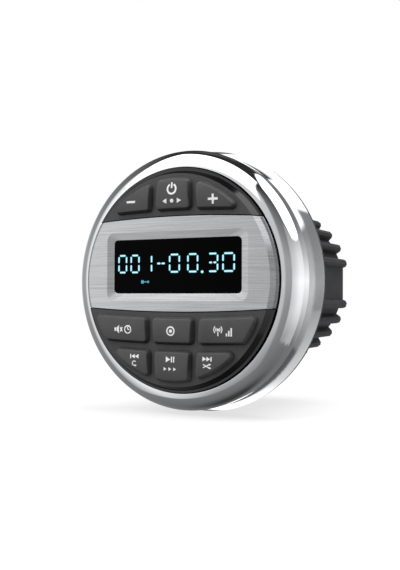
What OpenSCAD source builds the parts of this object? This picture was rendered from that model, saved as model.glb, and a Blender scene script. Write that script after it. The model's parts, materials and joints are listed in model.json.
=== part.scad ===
// Round panel receiver for a boat: a chrome ring and a keyed face stand in front of the
// panel, and a ribbed tubular housing lies behind it. The axis runs along Y and the face
// looks towards -Y. Every piece is drawn as seen from the front, x to the right and y up,
// with z as the height forward of the panel plane, and part_frame() turns that upright.

/* [Panel mount] */
// Thickness of the gasket between the front ring and the panel
gasket_t = 1.5; // [1:0.1:2.5]
// Diameter of the smooth collar that passes through the panel hole
collar_d = 81; // [80:0.5:83]
// Length of the collar behind the panel plane
collar_len = 7; // [4:0.5:12]
// Step from the collar in to its front end, which stands in the case
collar_step = 1; // [0.6:0.1:1.4]
// Width of the shoulder round the collar that centres the gasket
shoulder_w = 1.5; // [1:0.1:3]

/* [Chrome ring] */
// Widest diameter of the chrome bezel
bezel_d = 111.8; // [111:0.1:113]
// Radial width of the chrome bezel round the face
ring_w = 7.8; // [7.2:0.1:8.4]
// Radial width of the rounded nose
bezel_nose_w = 9.6; // [8.6:0.1:11]
// Height of the rounded nose above the widest line
bezel_nose_rise = 6.7; // [5.5:0.1:8]
// Length of the outer band below the widest line
bezel_band = 4.5; // [3:0.1:6]
// Inward draft of that band
bezel_draft = 0.4; // [0.1:0.1:0.8]
// Thickness of the inner lip
bezel_lip_t = 2.6; // [2:0.1:3.5]
// Diameter of the skirt at its rear edge
skirt_rear_d = 115; // [114:0.1:118]
// Length of the skirt
skirt_len = 11; // [10:0.1:14]
// Step from the bezel edge in to the skirt
skirt_step = 0.3; // [0.1:0.1:0.6]
// Wall of the skirt beside the case base, at its thinnest
skirt_wall = 1.4; // [1.1:0.1:2]

/* [Face] */
// Width of the flat rim
rim_w = 1; // [0.6:0.1:1.5]
// Height of the rim above the crest of the chrome ring
rim_proud = 1.1; // [0.4:0.1:2]
// Width of the bevel inside the rim
bevel_w = 1.7; // [1:0.1:2.5]
// Height of the bevel
bevel_rise = 2.4; // [1.5:0.1:3]
// Thickness of the face pieces
face_t = 4.2; // [4:0.1:5]
// Dark gap between the face and the chrome ring
face_gap = 0.4; // [0.2:0.1:0.6]
// Height of the silver band's top edge above the axis
band_top = 26.9; // [25:0.1:27.5]
// Radius of the band's top edge
band_top_r = 520; // [300:10:900]
// Depth of the silver band's bottom edge below the axis
band_bottom = 13.4; // [12:0.1:14]
// Radius of the band's bottom edge
band_bottom_r = 650; // [300:10:900]
// Seam between the band and the key mats
seam_w = 0.35; // [0.2:0.05:0.6]

/* [Display] */
// Width of the window
window_w = 63.6; // [56:0.2:66]
// Height of the window
window_h = 23.2; // [18:0.2:24]
// Height of the window's centre above the axis
window_y = 5.9; // [4:0.1:7]
// Corner radius of the window
window_corner = 2; // [1:0.1:3]
// Width of the sunk bevel round the window
frame_w = 3.2; // [2:0.1:4]
// Depth of the sunk bevel
frame_depth = 0.8; // [0.4:0.1:1.2]
// Thickness of the lens nose that stands in the window
lens_nose_t = 1.2; // [0.8:0.1:1.6]
// Width of the lens flange behind the window's edge
lens_flange_w = 1.5; // [1:0.1:2]
// Thickness of the display glass
glass_t = 2.1; // [1.5:0.1:2.5]

/* [Keys] */
// Height of the key tops above the face
key_proud = 2.4; // [1.5:0.1:3]
// Travel of a key
key_travel = 1.2; // [0.8:0.1:1.5]
// Distance from the outer keys to the edge of the face's flat
key_rim_gap = 2.6; // [1.8:0.1:3]
// Corner radius of a key
key_corner = 1.2; // [0.8:0.1:2]
// Rounding of a key's top edge
key_edge = 0.4; // [0.3:0.1:1]
// Draft of a key's sides, from its top to the face
key_draft = 0.45; // [0.2:0.05:0.6]
// Open gap round a key in the face
key_moat = 0.5; // [0.4:0.05:0.7]
// Overlap of a key's flange behind the face
key_catch = 0.4; // [0.3:0.05:0.5]
// Thickness of a key's flange
key_flange_t = 1.5; // [1:0.1:2]
// Distance from the silver band up to the upper keys
upper_row_gap = 3.1; // [2.6:0.1:3.6]
// Distance from the silver band down to the middle keys
lower_row_gap = 3; // [2.3:0.1:3.2]
// Height of the middle keys
middle_row_h = 10; // [9:0.1:11]
// Distance from the middle keys down to the bottom keys
row_gap = 4; // [3.4:0.1:4.4]
// Distance between keys of the upper and bottom rows
column_gap = 3.9; // [3.6:0.1:4.5]
// Width of the power key
power_key_w = 15.8; // [14:0.2:18]
// Width of the select key
select_key_w = 18.7; // [17:0.1:21]
// Width of the play key
play_key_w = 16.4; // [14:0.2:18]
// Diameter of a contact pill
pill_d = 5; // [4:0.2:6]
// Thickness of a contact pill
pill_t = 0.7; // [0.5:0.1:1]

/* [Front case] */
// Thickness of the case base
case_base_t = 7; // [6:0.1:8]
// Wall of the case round the face carrier
case_wall = 2.6; // [2:0.1:3]
// Thickness of the seal under the bezel's lip
bezel_seal_t = 0.8; // [0.5:0.1:1.2]
// Thickness of the case lip that the housing is screwed to
case_lip_t = 3; // [2.5:0.1:3.5]
// Diameter of the posts that carry the control board
post_d = 6; // [5:0.2:7]

/* [Rear housing] */
// Distance from the panel plane to the rear end
body_len = 73.5; // [68:0.5:90]
// Diameter across the rib tips just behind the collar
rib_front_d = 80; // [78.6:0.1:80]
// Diameter across the rib tips at the rear end
rib_rear_d = 76; // [74:0.1:78]
// Diameter of the housing's bore
bore_d = 63; // [62:0.1:64]
// Wall of the housing between the ribs
body_wall = 3.1; // [2.7:0.1:3.5]
// Angle of the first rib from the side
rib_first = 16; // [14:0.5:18]
// Angle between ribs
rib_step = 12.9; // [12:0.1:13.5]
// Width of a rib at its root
rib_root_w = 5.2; // [4.5:0.1:6]
// Width of a rib at its tip
rib_tip_w = 3.8; // [3:0.1:4.4]
// Chamfer of a rib's tip
rib_chamfer = 1; // [0.4:0.1:1.2]
// Distance across the two flat sides
side_flat_d = 69.4; // [69:0.1:72]
// Height of the flat sides
side_flat_h = 18; // [14:0.5:19]

/* [Rear cover] */
// Thickness of the rear cover
cover_t = 3.5; // [3:0.1:4.5]
// Thickness of the seal under the rear cover
cover_seal_t = 0.8; // [0.5:0.1:1.2]
// Width of the seat under the rear cover's edge
cover_seat_w = 1.2; // [0.9:0.1:1.3]
// Distance of the cover screws from the housing's bore
cover_screw_inset = 2.9; // [2.6:0.1:3.4]
// Angle of the cover screws from the horizontal
cover_screw_angle = 63; // [61:1:66]
// Length of the screw bosses in the housing
boss_len = 8; // [7:0.5:9]
// Diameter of the clamp studs
stud_d = 5; // [4:0.5:6]
// Distance between the clamp studs
stud_pitch = 48; // [44:0.5:50]
// Length of the clamp studs behind the rear end
stud_len = 16; // [10:0.5:25]

/* [Rear sockets] */
// Width of the power inlet
inlet_w = 24; // [20:0.5:26]
// Height of the power inlet
inlet_h = 11; // [9:0.5:12]
// Wall of the power inlet
inlet_wall = 1.4; // [1:0.1:1.8]
// Length of the power inlet behind the rear end
inlet_out = 5; // [3:0.5:8]
// Depth of the power inlet's mouth in front of its pins
inlet_mouth = 7; // [5:0.5:9]
// Diameter of the antenna socket
antenna_d = 12; // [11:0.5:13]
// Diameter of the antenna socket's bore
antenna_bore_d = 8.4; // [7.5:0.1:9]
// Sideways distance of the antenna socket from the axis
antenna_x = 13; // [12:0.5:14]
// Height of the antenna and line sockets above the axis
socket_y = 13; // [12:0.5:14]
// Diameter of a line socket
line_out_d = 8.2; // [7:0.1:9]
// Sideways distance of the right line socket from the axis
line_out_offset = 6; // [5:0.5:7]
// Distance between the line sockets
line_out_pitch = 11; // [10:0.5:12]
// Length of the round sockets behind the rear end
socket_out = 8; // [5:0.5:12]

/* [Electronics] */
// Thickness of the circuit boards
board_t = 1.6; // [1.2:0.1:2]
// Thickness of the contact membrane
membrane_t = 0.4; // [0.3:0.1:0.6]
// Thickness of the chassis plate
chassis_t = 1.5; // [1:0.1:2]
// Distance from the main board's edges in to those of the chassis plate
chassis_inset = 5; // [4:0.5:6]
// Gap between the main board's edges and the housing's bore
board_clear = 1; // [0.6:0.1:1.6]
// Height of the standoffs under the main board
standoff_h = 2.5; // [2:0.1:3]
// Width of the main board
main_board_w = 50; // [48:0.5:52]
// Length of the main board
main_board_len = 55; // [54:0.5:56]
// Height of the capacitors
capacitor_h = 16; // [10:0.5:22]
// Diameter of the capacitors
capacitor_d = 10; // [8:0.2:10.4]
// Height of the heat sink
heat_sink_h = 24; // [18:0.5:26]
// Depth of the heat sink's fins
fin_depth = 6; // [4:0.2:7]

/* [Hidden] */

// Smoothness of full circles, of the band's long arcs and of small corners
$fn = 96;
long_arc_fn = 720;
corner_fn = 24;

// Clearances: pieces that lie beside each other, pieces that move past each other,
// the air left under a pressed key, and how far a cut runs past a face
fit_gap = 0.2;
run_gap = 0.3;
key_side_gap = 0.5;
press_gap = 0.4;
over = 1;
sliver = 0.01;

// Heights forward of the panel plane, from the panel to the key tops
skirt_rear_h = gasket_t;
skirt_front_h = skirt_rear_h + skirt_len;
bezel_widest_h = skirt_front_h + bezel_band;
bezel_crest_h = bezel_widest_h + bezel_nose_rise;
bezel_lip_h = bezel_crest_h - bezel_lip_t;
rim_h = bezel_crest_h + rim_proud;
plateau_h = rim_h + bevel_rise;
face_seat_h = plateau_h - face_t;
window_top_h = plateau_h - frame_depth;
lens_step_h = window_top_h - lens_nose_t;
lens_rear_h = face_seat_h + fit_gap;
key_top_h = plateau_h + key_proud;
key_flange_top_h = face_seat_h - run_gap;
key_flange_low_h = key_flange_top_h - key_flange_t;
pill_low_h = key_flange_low_h - pill_t;
membrane_top_h = pill_low_h - key_travel - press_gap;
board_top_h = membrane_top_h - membrane_t;
board_low_h = board_top_h - board_t;
glass_top_h = face_seat_h - run_gap;
glass_low_h = glass_top_h - glass_t;
case_rear_h = gasket_t;
case_base_h = case_rear_h + case_base_t;
case_lip_low_h = case_base_h - case_lip_t;
case_top_h = bezel_lip_h - bezel_seal_t;

// Radii of the face, the rings and the case, from the inside outwards
bezel_r = bezel_d / 2;
bezel_bore_r = bezel_r - ring_w;
face_r = bezel_bore_r - face_gap;
face_d = 2 * face_r;
bevel_r = face_r - rim_w;
plateau_r = bevel_r - bevel_w;
nose_centre_r = bezel_r - bezel_nose_w;
carrier_r = face_r - face_gap;
case_bore_r = carrier_r + fit_gap;
case_wall_r = case_bore_r + case_wall;
ring_inner_r = case_wall_r + run_gap;
bezel_edge_r = bezel_r - bezel_draft;
skirt_front_r = bezel_edge_r - skirt_step;
skirt_rear_r = skirt_rear_d / 2;
skirt_slope = (skirt_rear_r - skirt_front_r) / skirt_len;
skirt_lip_h = case_base_h + run_gap;
skirt_lip_r = skirt_rear_r - skirt_slope * (skirt_lip_h - skirt_rear_h);
skirt_bore_r = min(skirt_rear_r, skirt_lip_r) - skirt_wall;
case_base_r = skirt_bore_r - run_gap;
key_arc_r = plateau_r - key_rim_gap;

// Radii of the panel mount and the rear housing
collar_r = collar_d / 2;
collar_end_r = collar_r - collar_step;
collar_socket_r = collar_end_r + fit_gap;
shoulder_r = collar_r + fit_gap + shoulder_w;
gasket_bore_r = shoulder_r + run_gap;
gasket_r = skirt_rear_r - skirt_step;
bore_r = bore_d / 2;
core_r = bore_r + body_wall;
recess_r = bore_r + cover_seat_w;
cover_r = recess_r - fit_gap;
cover_screw_r = bore_r - cover_screw_inset;
ribs_a_quarter = 6;

// Heights at the rear end
rear_h = -body_len;
cover_top_h = rear_h + cover_t;
cover_seat_h = cover_top_h + cover_seal_t;
boss_end_h = cover_seat_h + boss_len;

// Screws: diameter and head of the small and the large size, as radii
small_screw_r = 1;
small_head_r = 1.9;
small_head_t = 1.5;
screw_r = 1.3;
screw_head_r = 2.6;
screw_head_t = 1.8;
thread_gap = 0.1;
socket_share = 0.55;

// Face screws, as places in the right half of the face: two beside the window, one above it
side_screw_gap = 3.8;
side_screw_x = window_w / 2 + side_screw_gap;
high_screw_y = 11;
low_screw_y = -5;
top_screw_x = 25.5;
top_screw_y = 24.6;
face_screw_spots = [
    [side_screw_x, high_screw_y], [side_screw_x, low_screw_y], [top_screw_x, top_screw_y]
];
face_screw_grip = 3;

// Screws that hold the housing to the case, and how far the cover's screws reach
housing_screw_r = (bore_r + collar_end_r) / 2;
housing_screw_first = 30;
housing_screw_count = 6;
housing_screw_grip = 8;
boss_bite = 0.4;
boss_floor = 2;
screw_tip_gap = 0.5;

// Keys: row, and the columns in that row between which the key lies
power_half = power_key_w / 2;
select_half = select_key_w / 2;
play_half = play_key_w / 2;
key_columns = [
    [0, -face_r, -power_half - column_gap],
    [0, -power_half, power_half],
    [0, power_half + column_gap, face_r],
    [1, -face_r, -select_half - column_gap],
    [1, -select_half, select_half],
    [1, select_half + column_gap, face_r],
    [2, -face_r, -play_half - column_gap],
    [2, -play_half, play_half],
    [2, play_half + column_gap, face_r]
];
// Distances of the key rows' edges from the band
middle_row_low = lower_row_gap + middle_row_h;
bottom_row_top = middle_row_low + row_gap;

// A contact pill lies in the middle of its key, between the row's line and the outer arc
row_half = [power_half, select_half, play_half];
row_line = [
    band_top + upper_row_gap,
    -band_bottom - lower_row_gap - middle_row_h / 2,
    -band_bottom - bottom_row_top
];
function arc_reach(across) = sqrt(key_arc_r * key_arc_r - across * across);
function pill_x(row, side) = side * (row_half[row] + column_gap + arc_reach(row_line[row])) / 2;
function pill_y(row, x) = row == 1 ? row_line[row] : (row_line[row] + sign(row_line[row]) * arc_reach(x)) / 2;
function pill_spot(key) =
    let (row = key_columns[key][0], x = pill_x(row, key % 3 - 1))
    [x, pill_y(row, x)];

// Growth of a key's outline: at the hole in the face, at its flange and at the window in
// the carrier, which closes over the narrow bars between keys; and the step in to the stem
hole_grow = key_draft + key_moat;
flange_grow = hole_grow + key_catch;
carrier_grow = flange_grow + key_side_gap;
carrier_close = 1.5;
key_stem_step = 0.1;
pad_grow = 0.5;
pad_t = 0.2;

// Display panel and its holder, and the pocket behind the window
panel_grow = 0.8;
pocket_grow = lens_flange_w + fit_gap;

// Rear sockets and what carries them inside
inlet_low_h = rear_h - inlet_out;
inlet_in = 12;
inlet_pin_count = 5;
inlet_pin_w = 1.2;
inlet_pin_len = 3.5;
socket_low_h = rear_h - socket_out;
socket_in = 10;
antenna_floor = 3;
insulator_len = 4;
antenna_pin_r = 1;
line_bore_r = 1.7;
line_out_x = [-line_out_offset, -line_out_offset - line_out_pitch];
stud_neck_step = 0.4;
stud_neck_r = stud_d / 2 + stud_neck_step;
stud_head_r = 4.5;
stud_head_t = 3;
hex_turn = 30;

// Main board, as low in the bore as its width lets it lie, and the chassis under it
board_reach_r = bore_r - board_clear;
board_bottom_y = -sqrt(board_reach_r * board_reach_r - main_board_w * main_board_w / 4);
board_top_y = board_bottom_y + board_t;
chassis_y = standoff_h - board_bottom_y;
chassis_w = main_board_w - 2 * chassis_inset;
board_rear_gap = 2;
board_rear_h = cover_seat_h + board_rear_gap;
board_front_h = board_rear_h + main_board_len;
chassis_rear_h = boss_end_h + run_gap;
chassis_front_gap = 1;
chassis_front_h = board_front_h - chassis_front_gap;
chassis_foot_w = 18;
chassis_foot_h = 6;
chassis_screw_x = 5.5;
chassis_screw_drop = 2.2;
chassis_screw_y = chassis_y + chassis_t + chassis_screw_drop;
chassis_screw_end = 1;
inlet_y = board_top_y + inlet_h / 2;

// Standoffs, beside the inlet and in front of the cover's bosses
part_gap = 1;
standoff_r = 2.4;
standoff_gap = 2.1;
standoff_x = inlet_w / 2 + small_head_r + standoff_gap;
standoff_rear_h = boss_end_h + standoff_r + part_gap;
standoff_front_gap = 3.4;
standoff_front_h = board_front_h - standoff_front_gap;

// Parts on the main board, in front of the inlet and the rear standoffs or back from its front edge
parts_rear_h = max(cover_top_h + inlet_in, standoff_rear_h + small_head_r) + part_gap;
part_inset = 3;
heat_sink_inset = 1;
heat_sink_x = heat_sink_inset - main_board_w / 2;
heat_sink_base = 4;
heat_sink_len = 20;
fin_count = 6;
fin_share = 0.45;
amplifier_x = heat_sink_x + fin_depth + heat_sink_base;
amplifier_w = 4.6;
amplifier_h = 14;
amplifier_len = 18;
tuner_w = 18;
tuner_len = 10;
tuner_h = 16;
tuner_x = main_board_w / 2 - part_inset - tuner_w;
tuner_front_h = parts_rear_h + tuner_len;
capacitor_pitch = 12;
capacitor_x = -4;
capacitor_front = 11;
choke_r = 6;
choke_section_r = 2.2;
choke_x = main_board_w / 2 - part_inset - choke_r;
choke_front = 21;
main_chip_w = 10;
main_chip_x = amplifier_x + amplifier_w + part_gap + main_chip_w / 2;
main_chip_h = tuner_front_h + part_gap + main_chip_w / 2;
chip_t = 1.4;
control_chip_w = 12;
control_chip_x = 14;
control_chip_y = 6;

// Flat ribbon between the two boards
ribbon_w = 14;
ribbon_t = 0.4;
socket_w = 16;
socket_t = 4;
socket_len = 4;
control_socket_rise = 3;
control_socket_y = board_top_y + control_socket_rise;
ribbon_straight = 3;

module part_frame() {
    rotate([90, 0, 0]) children();
}

// A flat outline, from one height to another
module slab(low, high) {
    translate([0, 0, low]) linear_extrude(high - low) children();
}

module ring(outer_r, inner_r, low, high) {
    slab(low, high) difference() {
        circle(r = outer_r);
        circle(r = inner_r);
    }
}

module rounded_rect(width, height, corner) {
    square([width, height - 2 * corner], center = true);
    square([width - 2 * corner, height], center = true);
    for (side_x = [-1, 1], side_y = [-1, 1])
        translate([side_x * (width / 2 - corner), side_y * (height / 2 - corner)])
            circle(r = corner, $fn = corner_fn);
}

// A screw standing on its head, with a six-sided socket in the head
module screw(shank_r, head_r, head_t, length) {
    difference() {
        union() {
            cylinder(h = head_t, r = head_r);
            cylinder(h = length, r = shank_r);
        }
        translate([0, 0, -over]) cylinder(h = over + head_t / 2, r = head_r * socket_share, $fn = 6);
    }
}

// Both halves of a left-right symmetric set of places
module both_sides(spots) {
    for (spot = spots, side = [-1, 1])
        translate([side * spot[0], spot[1], 0]) children();
}

// Chrome ring, skirt and seals

function nose_point(angle) = [
    nose_centre_r + bezel_nose_w * cos(angle),
    bezel_widest_h + bezel_nose_rise * sin(angle)
];

module chrome_bezel() {
    nose_steps = 18;
    lip_angle = acos((bezel_bore_r - nose_centre_r) / bezel_nose_w);
    nose = [for (step = [0 : nose_steps]) nose_point(lip_angle * (1 - step / nose_steps))];
    outline = concat(
        [[bezel_bore_r, bezel_lip_h]],
        nose,
        [[bezel_edge_r, skirt_front_h], [ring_inner_r, skirt_front_h], [ring_inner_r, bezel_lip_h]]
    );
    color("gainsboro") part_frame() rotate_extrude() polygon(outline);
}

module bezel_skirt() {
    color("silver") part_frame() rotate_extrude() polygon([
        [skirt_rear_r, skirt_rear_h],
        [skirt_front_r, skirt_front_h],
        [ring_inner_r, skirt_front_h],
        [ring_inner_r, skirt_lip_h],
        [skirt_bore_r, skirt_lip_h],
        [skirt_bore_r, skirt_rear_h]
    ]);
}

module panel_gasket() {
    color("#202020") part_frame() ring(gasket_r, gasket_bore_r, 0, gasket_t);
}

module bezel_seal() {
    color("#181818") part_frame() ring(case_wall_r, case_bore_r, case_top_h, bezel_lip_h);
}

// Face: the silver band between two rubber mats, cut from one turned outline

module face_blank() {
    rotate_extrude() polygon([
        [0, face_seat_h], [face_r, face_seat_h], [face_r, rim_h],
        [bevel_r, rim_h], [plateau_r, plateau_h], [0, plateau_h]
    ]);
}

// Everything below the band's top arc, moved up by a distance
module under_top_arc(grow) {
    translate([0, band_top - band_top_r]) circle(r = band_top_r + grow, $fn = long_arc_fn);
}

// Everything above the band's bottom arc, moved down by a distance
module over_bottom_arc(grow) {
    translate([0, band_bottom_r - band_bottom]) circle(r = band_bottom_r + grow, $fn = long_arc_fn);
}

module half_face(side) {
    translate([-face_d, side > 0 ? 0 : -face_d]) square([2 * face_d, face_d]);
}

module window_outline(grow) {
    translate([0, window_y])
        rounded_rect(window_w + 2 * grow, window_h + 2 * grow, window_corner + grow / 2);
}

module fascia_plate() {
    color("#bdbdc0") part_frame() difference() {
        intersection() {
            face_blank();
            slab(face_seat_h, plateau_h) intersection() {
                under_top_arc(0);
                over_bottom_arc(0);
            }
        }
        hull() {
            slab(window_top_h, window_top_h + sliver) window_outline(0);
            slab(plateau_h, plateau_h + sliver) window_outline(frame_w);
        }
        slab(face_seat_h - over, plateau_h) window_outline(0);
        slab(face_seat_h - over, lens_step_h) window_outline(pocket_grow);
    }
}

module key_hole(key) {
    offset(r = hole_grow, $fn = corner_fn) key_outline(key);
}

module upper_key_mat() {
    color("#404040") part_frame() difference() {
        intersection() {
            face_blank();
            slab(face_seat_h, plateau_h) difference() {
                half_face(1);
                under_top_arc(seam_w);
            }
        }
        for (key = [0 : 2]) slab(face_seat_h - over, plateau_h + over) key_hole(key);
    }
}

module lower_key_mat() {
    color("#404040") part_frame() difference() {
        intersection() {
            face_blank();
            slab(face_seat_h, plateau_h) difference() {
                half_face(-1);
                over_bottom_arc(seam_w);
            }
        }
        for (key = [3 : 8]) slab(face_seat_h - over, plateau_h + over) key_hole(key);
    }
}

// Display behind the window

module display_lens() {
    color("#0a0a0c") part_frame() {
        slab(lens_rear_h, lens_step_h) window_outline(lens_flange_w);
        slab(lens_step_h, window_top_h - fit_gap) window_outline(-fit_gap);
    }
}

module display_panel() {
    color("#101820") part_frame() slab(glass_low_h, glass_top_h) window_outline(panel_grow);
}

module display_holder() {
    color("#e6e6e0") part_frame() slab(membrane_top_h, glass_low_h) window_outline(panel_grow);
}

// Keys

module key_row(row) {
    intersection() {
        circle(r = key_arc_r);
        if (row == 0) {
            difference() {
                half_face(1);
                under_top_arc(upper_row_gap);
            }
        } else if (row == 1) {
            difference() {
                over_bottom_arc(middle_row_low);
                over_bottom_arc(lower_row_gap);
            }
        } else {
            difference() {
                half_face(-1);
                over_bottom_arc(bottom_row_top);
            }
        }
    }
}

module key_outline(key) {
    place = key_columns[key];
    offset(r = key_corner, $fn = corner_fn) offset(delta = -key_corner) intersection() {
        key_row(place[0]);
        translate([place[1], -face_r]) square([place[2] - place[1], face_d]);
    }
}

module key_body(key) {
    stem_grow = key_draft - key_stem_step;
    color("#4c4c4c") part_frame() {
        hull() {
            slab(plateau_h, plateau_h + sliver) offset(delta = key_draft) key_outline(key);
            slab(key_top_h - key_edge, key_top_h - key_edge + sliver) key_outline(key);
            slab(key_top_h - sliver, key_top_h) offset(delta = -key_edge) key_outline(key);
        }
        slab(key_flange_low_h + key_flange_t / 2, plateau_h + key_proud / 2)
            offset(delta = stem_grow) key_outline(key);
        slab(key_flange_low_h, key_flange_top_h)
            offset(r = flange_grow, $fn = corner_fn) key_outline(key);
    }
}

module key_pill(key) {
    color("#202024") part_frame() slab(pill_low_h, key_flange_low_h)
        translate(pill_spot(key)) circle(d = pill_d);
}

// Carrier, contacts and control board behind the face

module face_screw_holes(radius) {
    both_sides(face_screw_spots) circle(r = radius);
}

module face_carrier() {
    color("#2a2a2a") part_frame() difference() {
        slab(membrane_top_h, face_seat_h) difference() {
            circle(r = carrier_r);
            window_outline(panel_grow + fit_gap);
            offset(delta = -carrier_close)
                offset(r = carrier_grow + carrier_close, $fn = corner_fn)
                    for (key = [0 : 8]) key_outline(key);
        }
        slab(membrane_top_h - over, membrane_top_h + face_screw_grip + fit_gap)
            face_screw_holes(small_screw_r + thread_gap);
    }
}

module contact_membrane() {
    color("#33363a") part_frame() slab(board_top_h, membrane_top_h) difference() {
        circle(r = carrier_r);
        face_screw_holes(small_screw_r + fit_gap);
        for (key = [0 : 8]) translate(pill_spot(key)) circle(r = pill_d / 2 + pad_grow + fit_gap);
    }
}

module contact_pads() {
    color("goldenrod") part_frame() for (key = [0 : 8])
        slab(board_top_h, board_top_h + pad_t) translate(pill_spot(key)) circle(r = pill_d / 2 + pad_grow);
}

module control_board() {
    color("#1f5a38") part_frame() slab(board_low_h, board_top_h) difference() {
        circle(r = carrier_r);
        face_screw_holes(small_screw_r + fit_gap);
    }
}

module logic_chips() {
    color("#18181a") part_frame() {
        translate([control_chip_x, control_chip_y, board_low_h - chip_t / 2])
            cube([control_chip_w, control_chip_w, chip_t], center = true);
        translate([main_chip_x, board_top_y + chip_t / 2, main_chip_h])
            cube([main_chip_w, chip_t, main_chip_w], center = true);
    }
}

module ribbon_sockets() {
    color("#d8d2c0") part_frame() {
        translate([-socket_w / 2, control_socket_y, board_low_h - socket_len])
            cube([socket_w, socket_t, socket_len]);
        translate([-socket_w / 2, board_top_y, board_front_h - socket_len])
            cube([socket_w, socket_t, socket_len]);
    }
}

// The ribbon runs straight out of each socket and slants between them
module link_ribbon() {
    low_y = board_top_y + socket_t / 2;
    high_y = control_socket_y + socket_t / 2;
    rear_end = board_front_h;
    front_end = board_low_h - socket_len;
    middle_line = [
        [rear_end, low_y], [rear_end + ribbon_straight, low_y],
        [front_end - ribbon_straight, high_y], [front_end, high_y]
    ];
    upper_edge = [for (point = middle_line) point + [0, ribbon_t / 2]];
    lower_edge = [for (index = [3 : -1 : 0]) middle_line[index] - [0, ribbon_t / 2]];
    color("#8a8f98") part_frame() rotate([0, -90, 0])
        translate([0, 0, -ribbon_w / 2]) linear_extrude(ribbon_w) polygon(concat(upper_edge, lower_edge));
}

// Front case and its screws

module housing_screw_places() {
    for (turn = [0 : housing_screw_count - 1])
        rotate(housing_screw_first + turn * 360 / housing_screw_count)
            translate([housing_screw_r, 0, 0]) children();
}

module front_case() {
    color("#242424") part_frame() difference() {
        union() {
            ring(case_base_r, collar_socket_r, case_rear_h, case_base_h);
            ring(shoulder_r, collar_socket_r, 0, case_rear_h + sliver);
            ring(collar_socket_r + sliver, bore_r, case_lip_low_h, case_base_h);
            ring(case_wall_r, case_bore_r, case_base_h - sliver, case_top_h);
            both_sides(face_screw_spots) translate([0, 0, case_lip_low_h])
                cylinder(h = board_low_h - case_lip_low_h, d = post_d);
        }
        both_sides(face_screw_spots) translate([0, 0, case_lip_low_h - over])
            cylinder(h = board_low_h - case_lip_low_h + 2 * over, r = small_screw_r + fit_gap);
        both_sides(face_screw_spots) translate([0, 0, -over])
            cylinder(h = over + case_lip_low_h + small_head_t, r = small_head_r + fit_gap);
        housing_screw_places() translate([0, 0, case_lip_low_h - over])
            cylinder(h = case_lip_t + 2 * over, r = screw_r + fit_gap);
    }
}

module face_screws() {
    color("#b8b8b8") part_frame() both_sides(face_screw_spots) translate([0, 0, case_lip_low_h])
        screw(small_screw_r, small_head_r, small_head_t, membrane_top_h + face_screw_grip - case_lip_low_h);
}

module housing_screws() {
    color("#b8b8b8") part_frame() housing_screw_places()
        translate([0, 0, case_base_h + screw_head_t]) mirror([0, 0, 1])
            screw(screw_r, screw_head_r, screw_head_t, screw_head_t + case_lip_t + housing_screw_grip);
}

// Rear housing: smooth collar, ribbed body, and bosses for the rear cover

// One rib along the x axis: a chamfered bar that leans in towards the rear end
module rib() {
    rib_len = body_len - collar_len;
    lean = atan((rib_front_d - rib_rear_d) / 2 / rib_len);
    root = rib_front_d / 2 - bore_r;
    outline = [
        [-root, -rib_root_w / 2], [-rib_chamfer, -rib_tip_w / 2], [0, rib_chamfer - rib_tip_w / 2],
        [0, rib_tip_w / 2 - rib_chamfer], [-rib_chamfer, rib_tip_w / 2], [-root, rib_root_w / 2]
    ];
    translate([rib_front_d / 2, 0, -collar_len]) rotate([0, lean, 0]) slab(-rib_len - over, over)
        polygon(outline);
}

module ribs() {
    for (place = [0 : ribs_a_quarter - 1], flip_x = [0, 1], flip_y = [0, 1])
        mirror([flip_x, 0, 0]) mirror([0, flip_y, 0]) rotate(rib_first + place * rib_step) rib();
}

module cover_screw_places() {
    for (side = [-1, 1], end = [-1, 1])
        rotate(90 * (1 - side) + side * end * cover_screw_angle)
            translate([cover_screw_r, 0, 0]) children();
}

module rear_housing() {
    boss_r = cover_screw_inset + boss_bite;
    collar_front_h = case_lip_low_h;
    color("#3a3a3c") part_frame() difference() {
        union() {
            difference() {
                union() {
                    translate([0, 0, -collar_len]) {
                        cylinder(h = collar_len, r = collar_r);
                        cylinder(h = collar_len + collar_front_h, r = collar_end_r);
                    }
                    slab(rear_h, -collar_len) {
                        circle(r = core_r);
                        square([side_flat_d, side_flat_h], center = true);
                    }
                    intersection() {
                        translate([0, 0, rear_h]) cylinder(h = body_len - collar_len, r = collar_r);
                        ribs();
                    }
                }
                translate([0, 0, rear_h - over])
                    cylinder(h = body_len + collar_front_h + 2 * over, r = bore_r);
            }
            cover_screw_places() translate([0, 0, cover_seat_h]) cylinder(h = boss_len, r = boss_r);
        }
        translate([0, 0, rear_h - over]) cylinder(h = over + cover_seat_h - rear_h, r = recess_r);
        cover_screw_places() translate([0, 0, rear_h])
            cylinder(h = boss_end_h - boss_floor - rear_h, r = screw_r + thread_gap);
        housing_screw_places() translate([0, 0, collar_front_h - housing_screw_grip - fit_gap])
            cylinder(h = housing_screw_grip + over, r = screw_r + thread_gap);
    }
}

// Rear cover with its seal, screws, studs and sockets

module inlet_outline(grow) {
    translate([0, inlet_y]) square([inlet_w + 2 * grow, inlet_h + 2 * grow], center = true);
}

module stud_places() {
    for (side = [-1, 1]) translate([side * stud_pitch / 2, 0, 0]) children();
}

module chassis_screw_places() {
    for (side = [-1, 1]) translate([side * chassis_screw_x, -chassis_screw_y, 0]) children();
}

module rear_cover() {
    color("#303032") part_frame() difference() {
        slab(rear_h, cover_top_h) difference() {
            circle(r = cover_r);
            inlet_outline(fit_gap);
            translate([antenna_x, socket_y]) circle(r = antenna_d / 2 + fit_gap);
            for (place_x = line_out_x) translate([place_x, socket_y]) circle(r = line_out_d / 2 + fit_gap);
            stud_places() circle(r = stud_neck_r + fit_gap);
            chassis_screw_places() circle(r = small_screw_r + fit_gap);
            cover_screw_places() circle(r = screw_r + fit_gap);
        }
        cover_screw_places() translate([0, 0, rear_h - over])
            cylinder(h = over + screw_head_t, r = screw_head_r + fit_gap);
        chassis_screw_places() translate([0, 0, rear_h - over])
            cylinder(h = over + small_head_t, r = small_head_r + fit_gap);
    }
}

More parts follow.
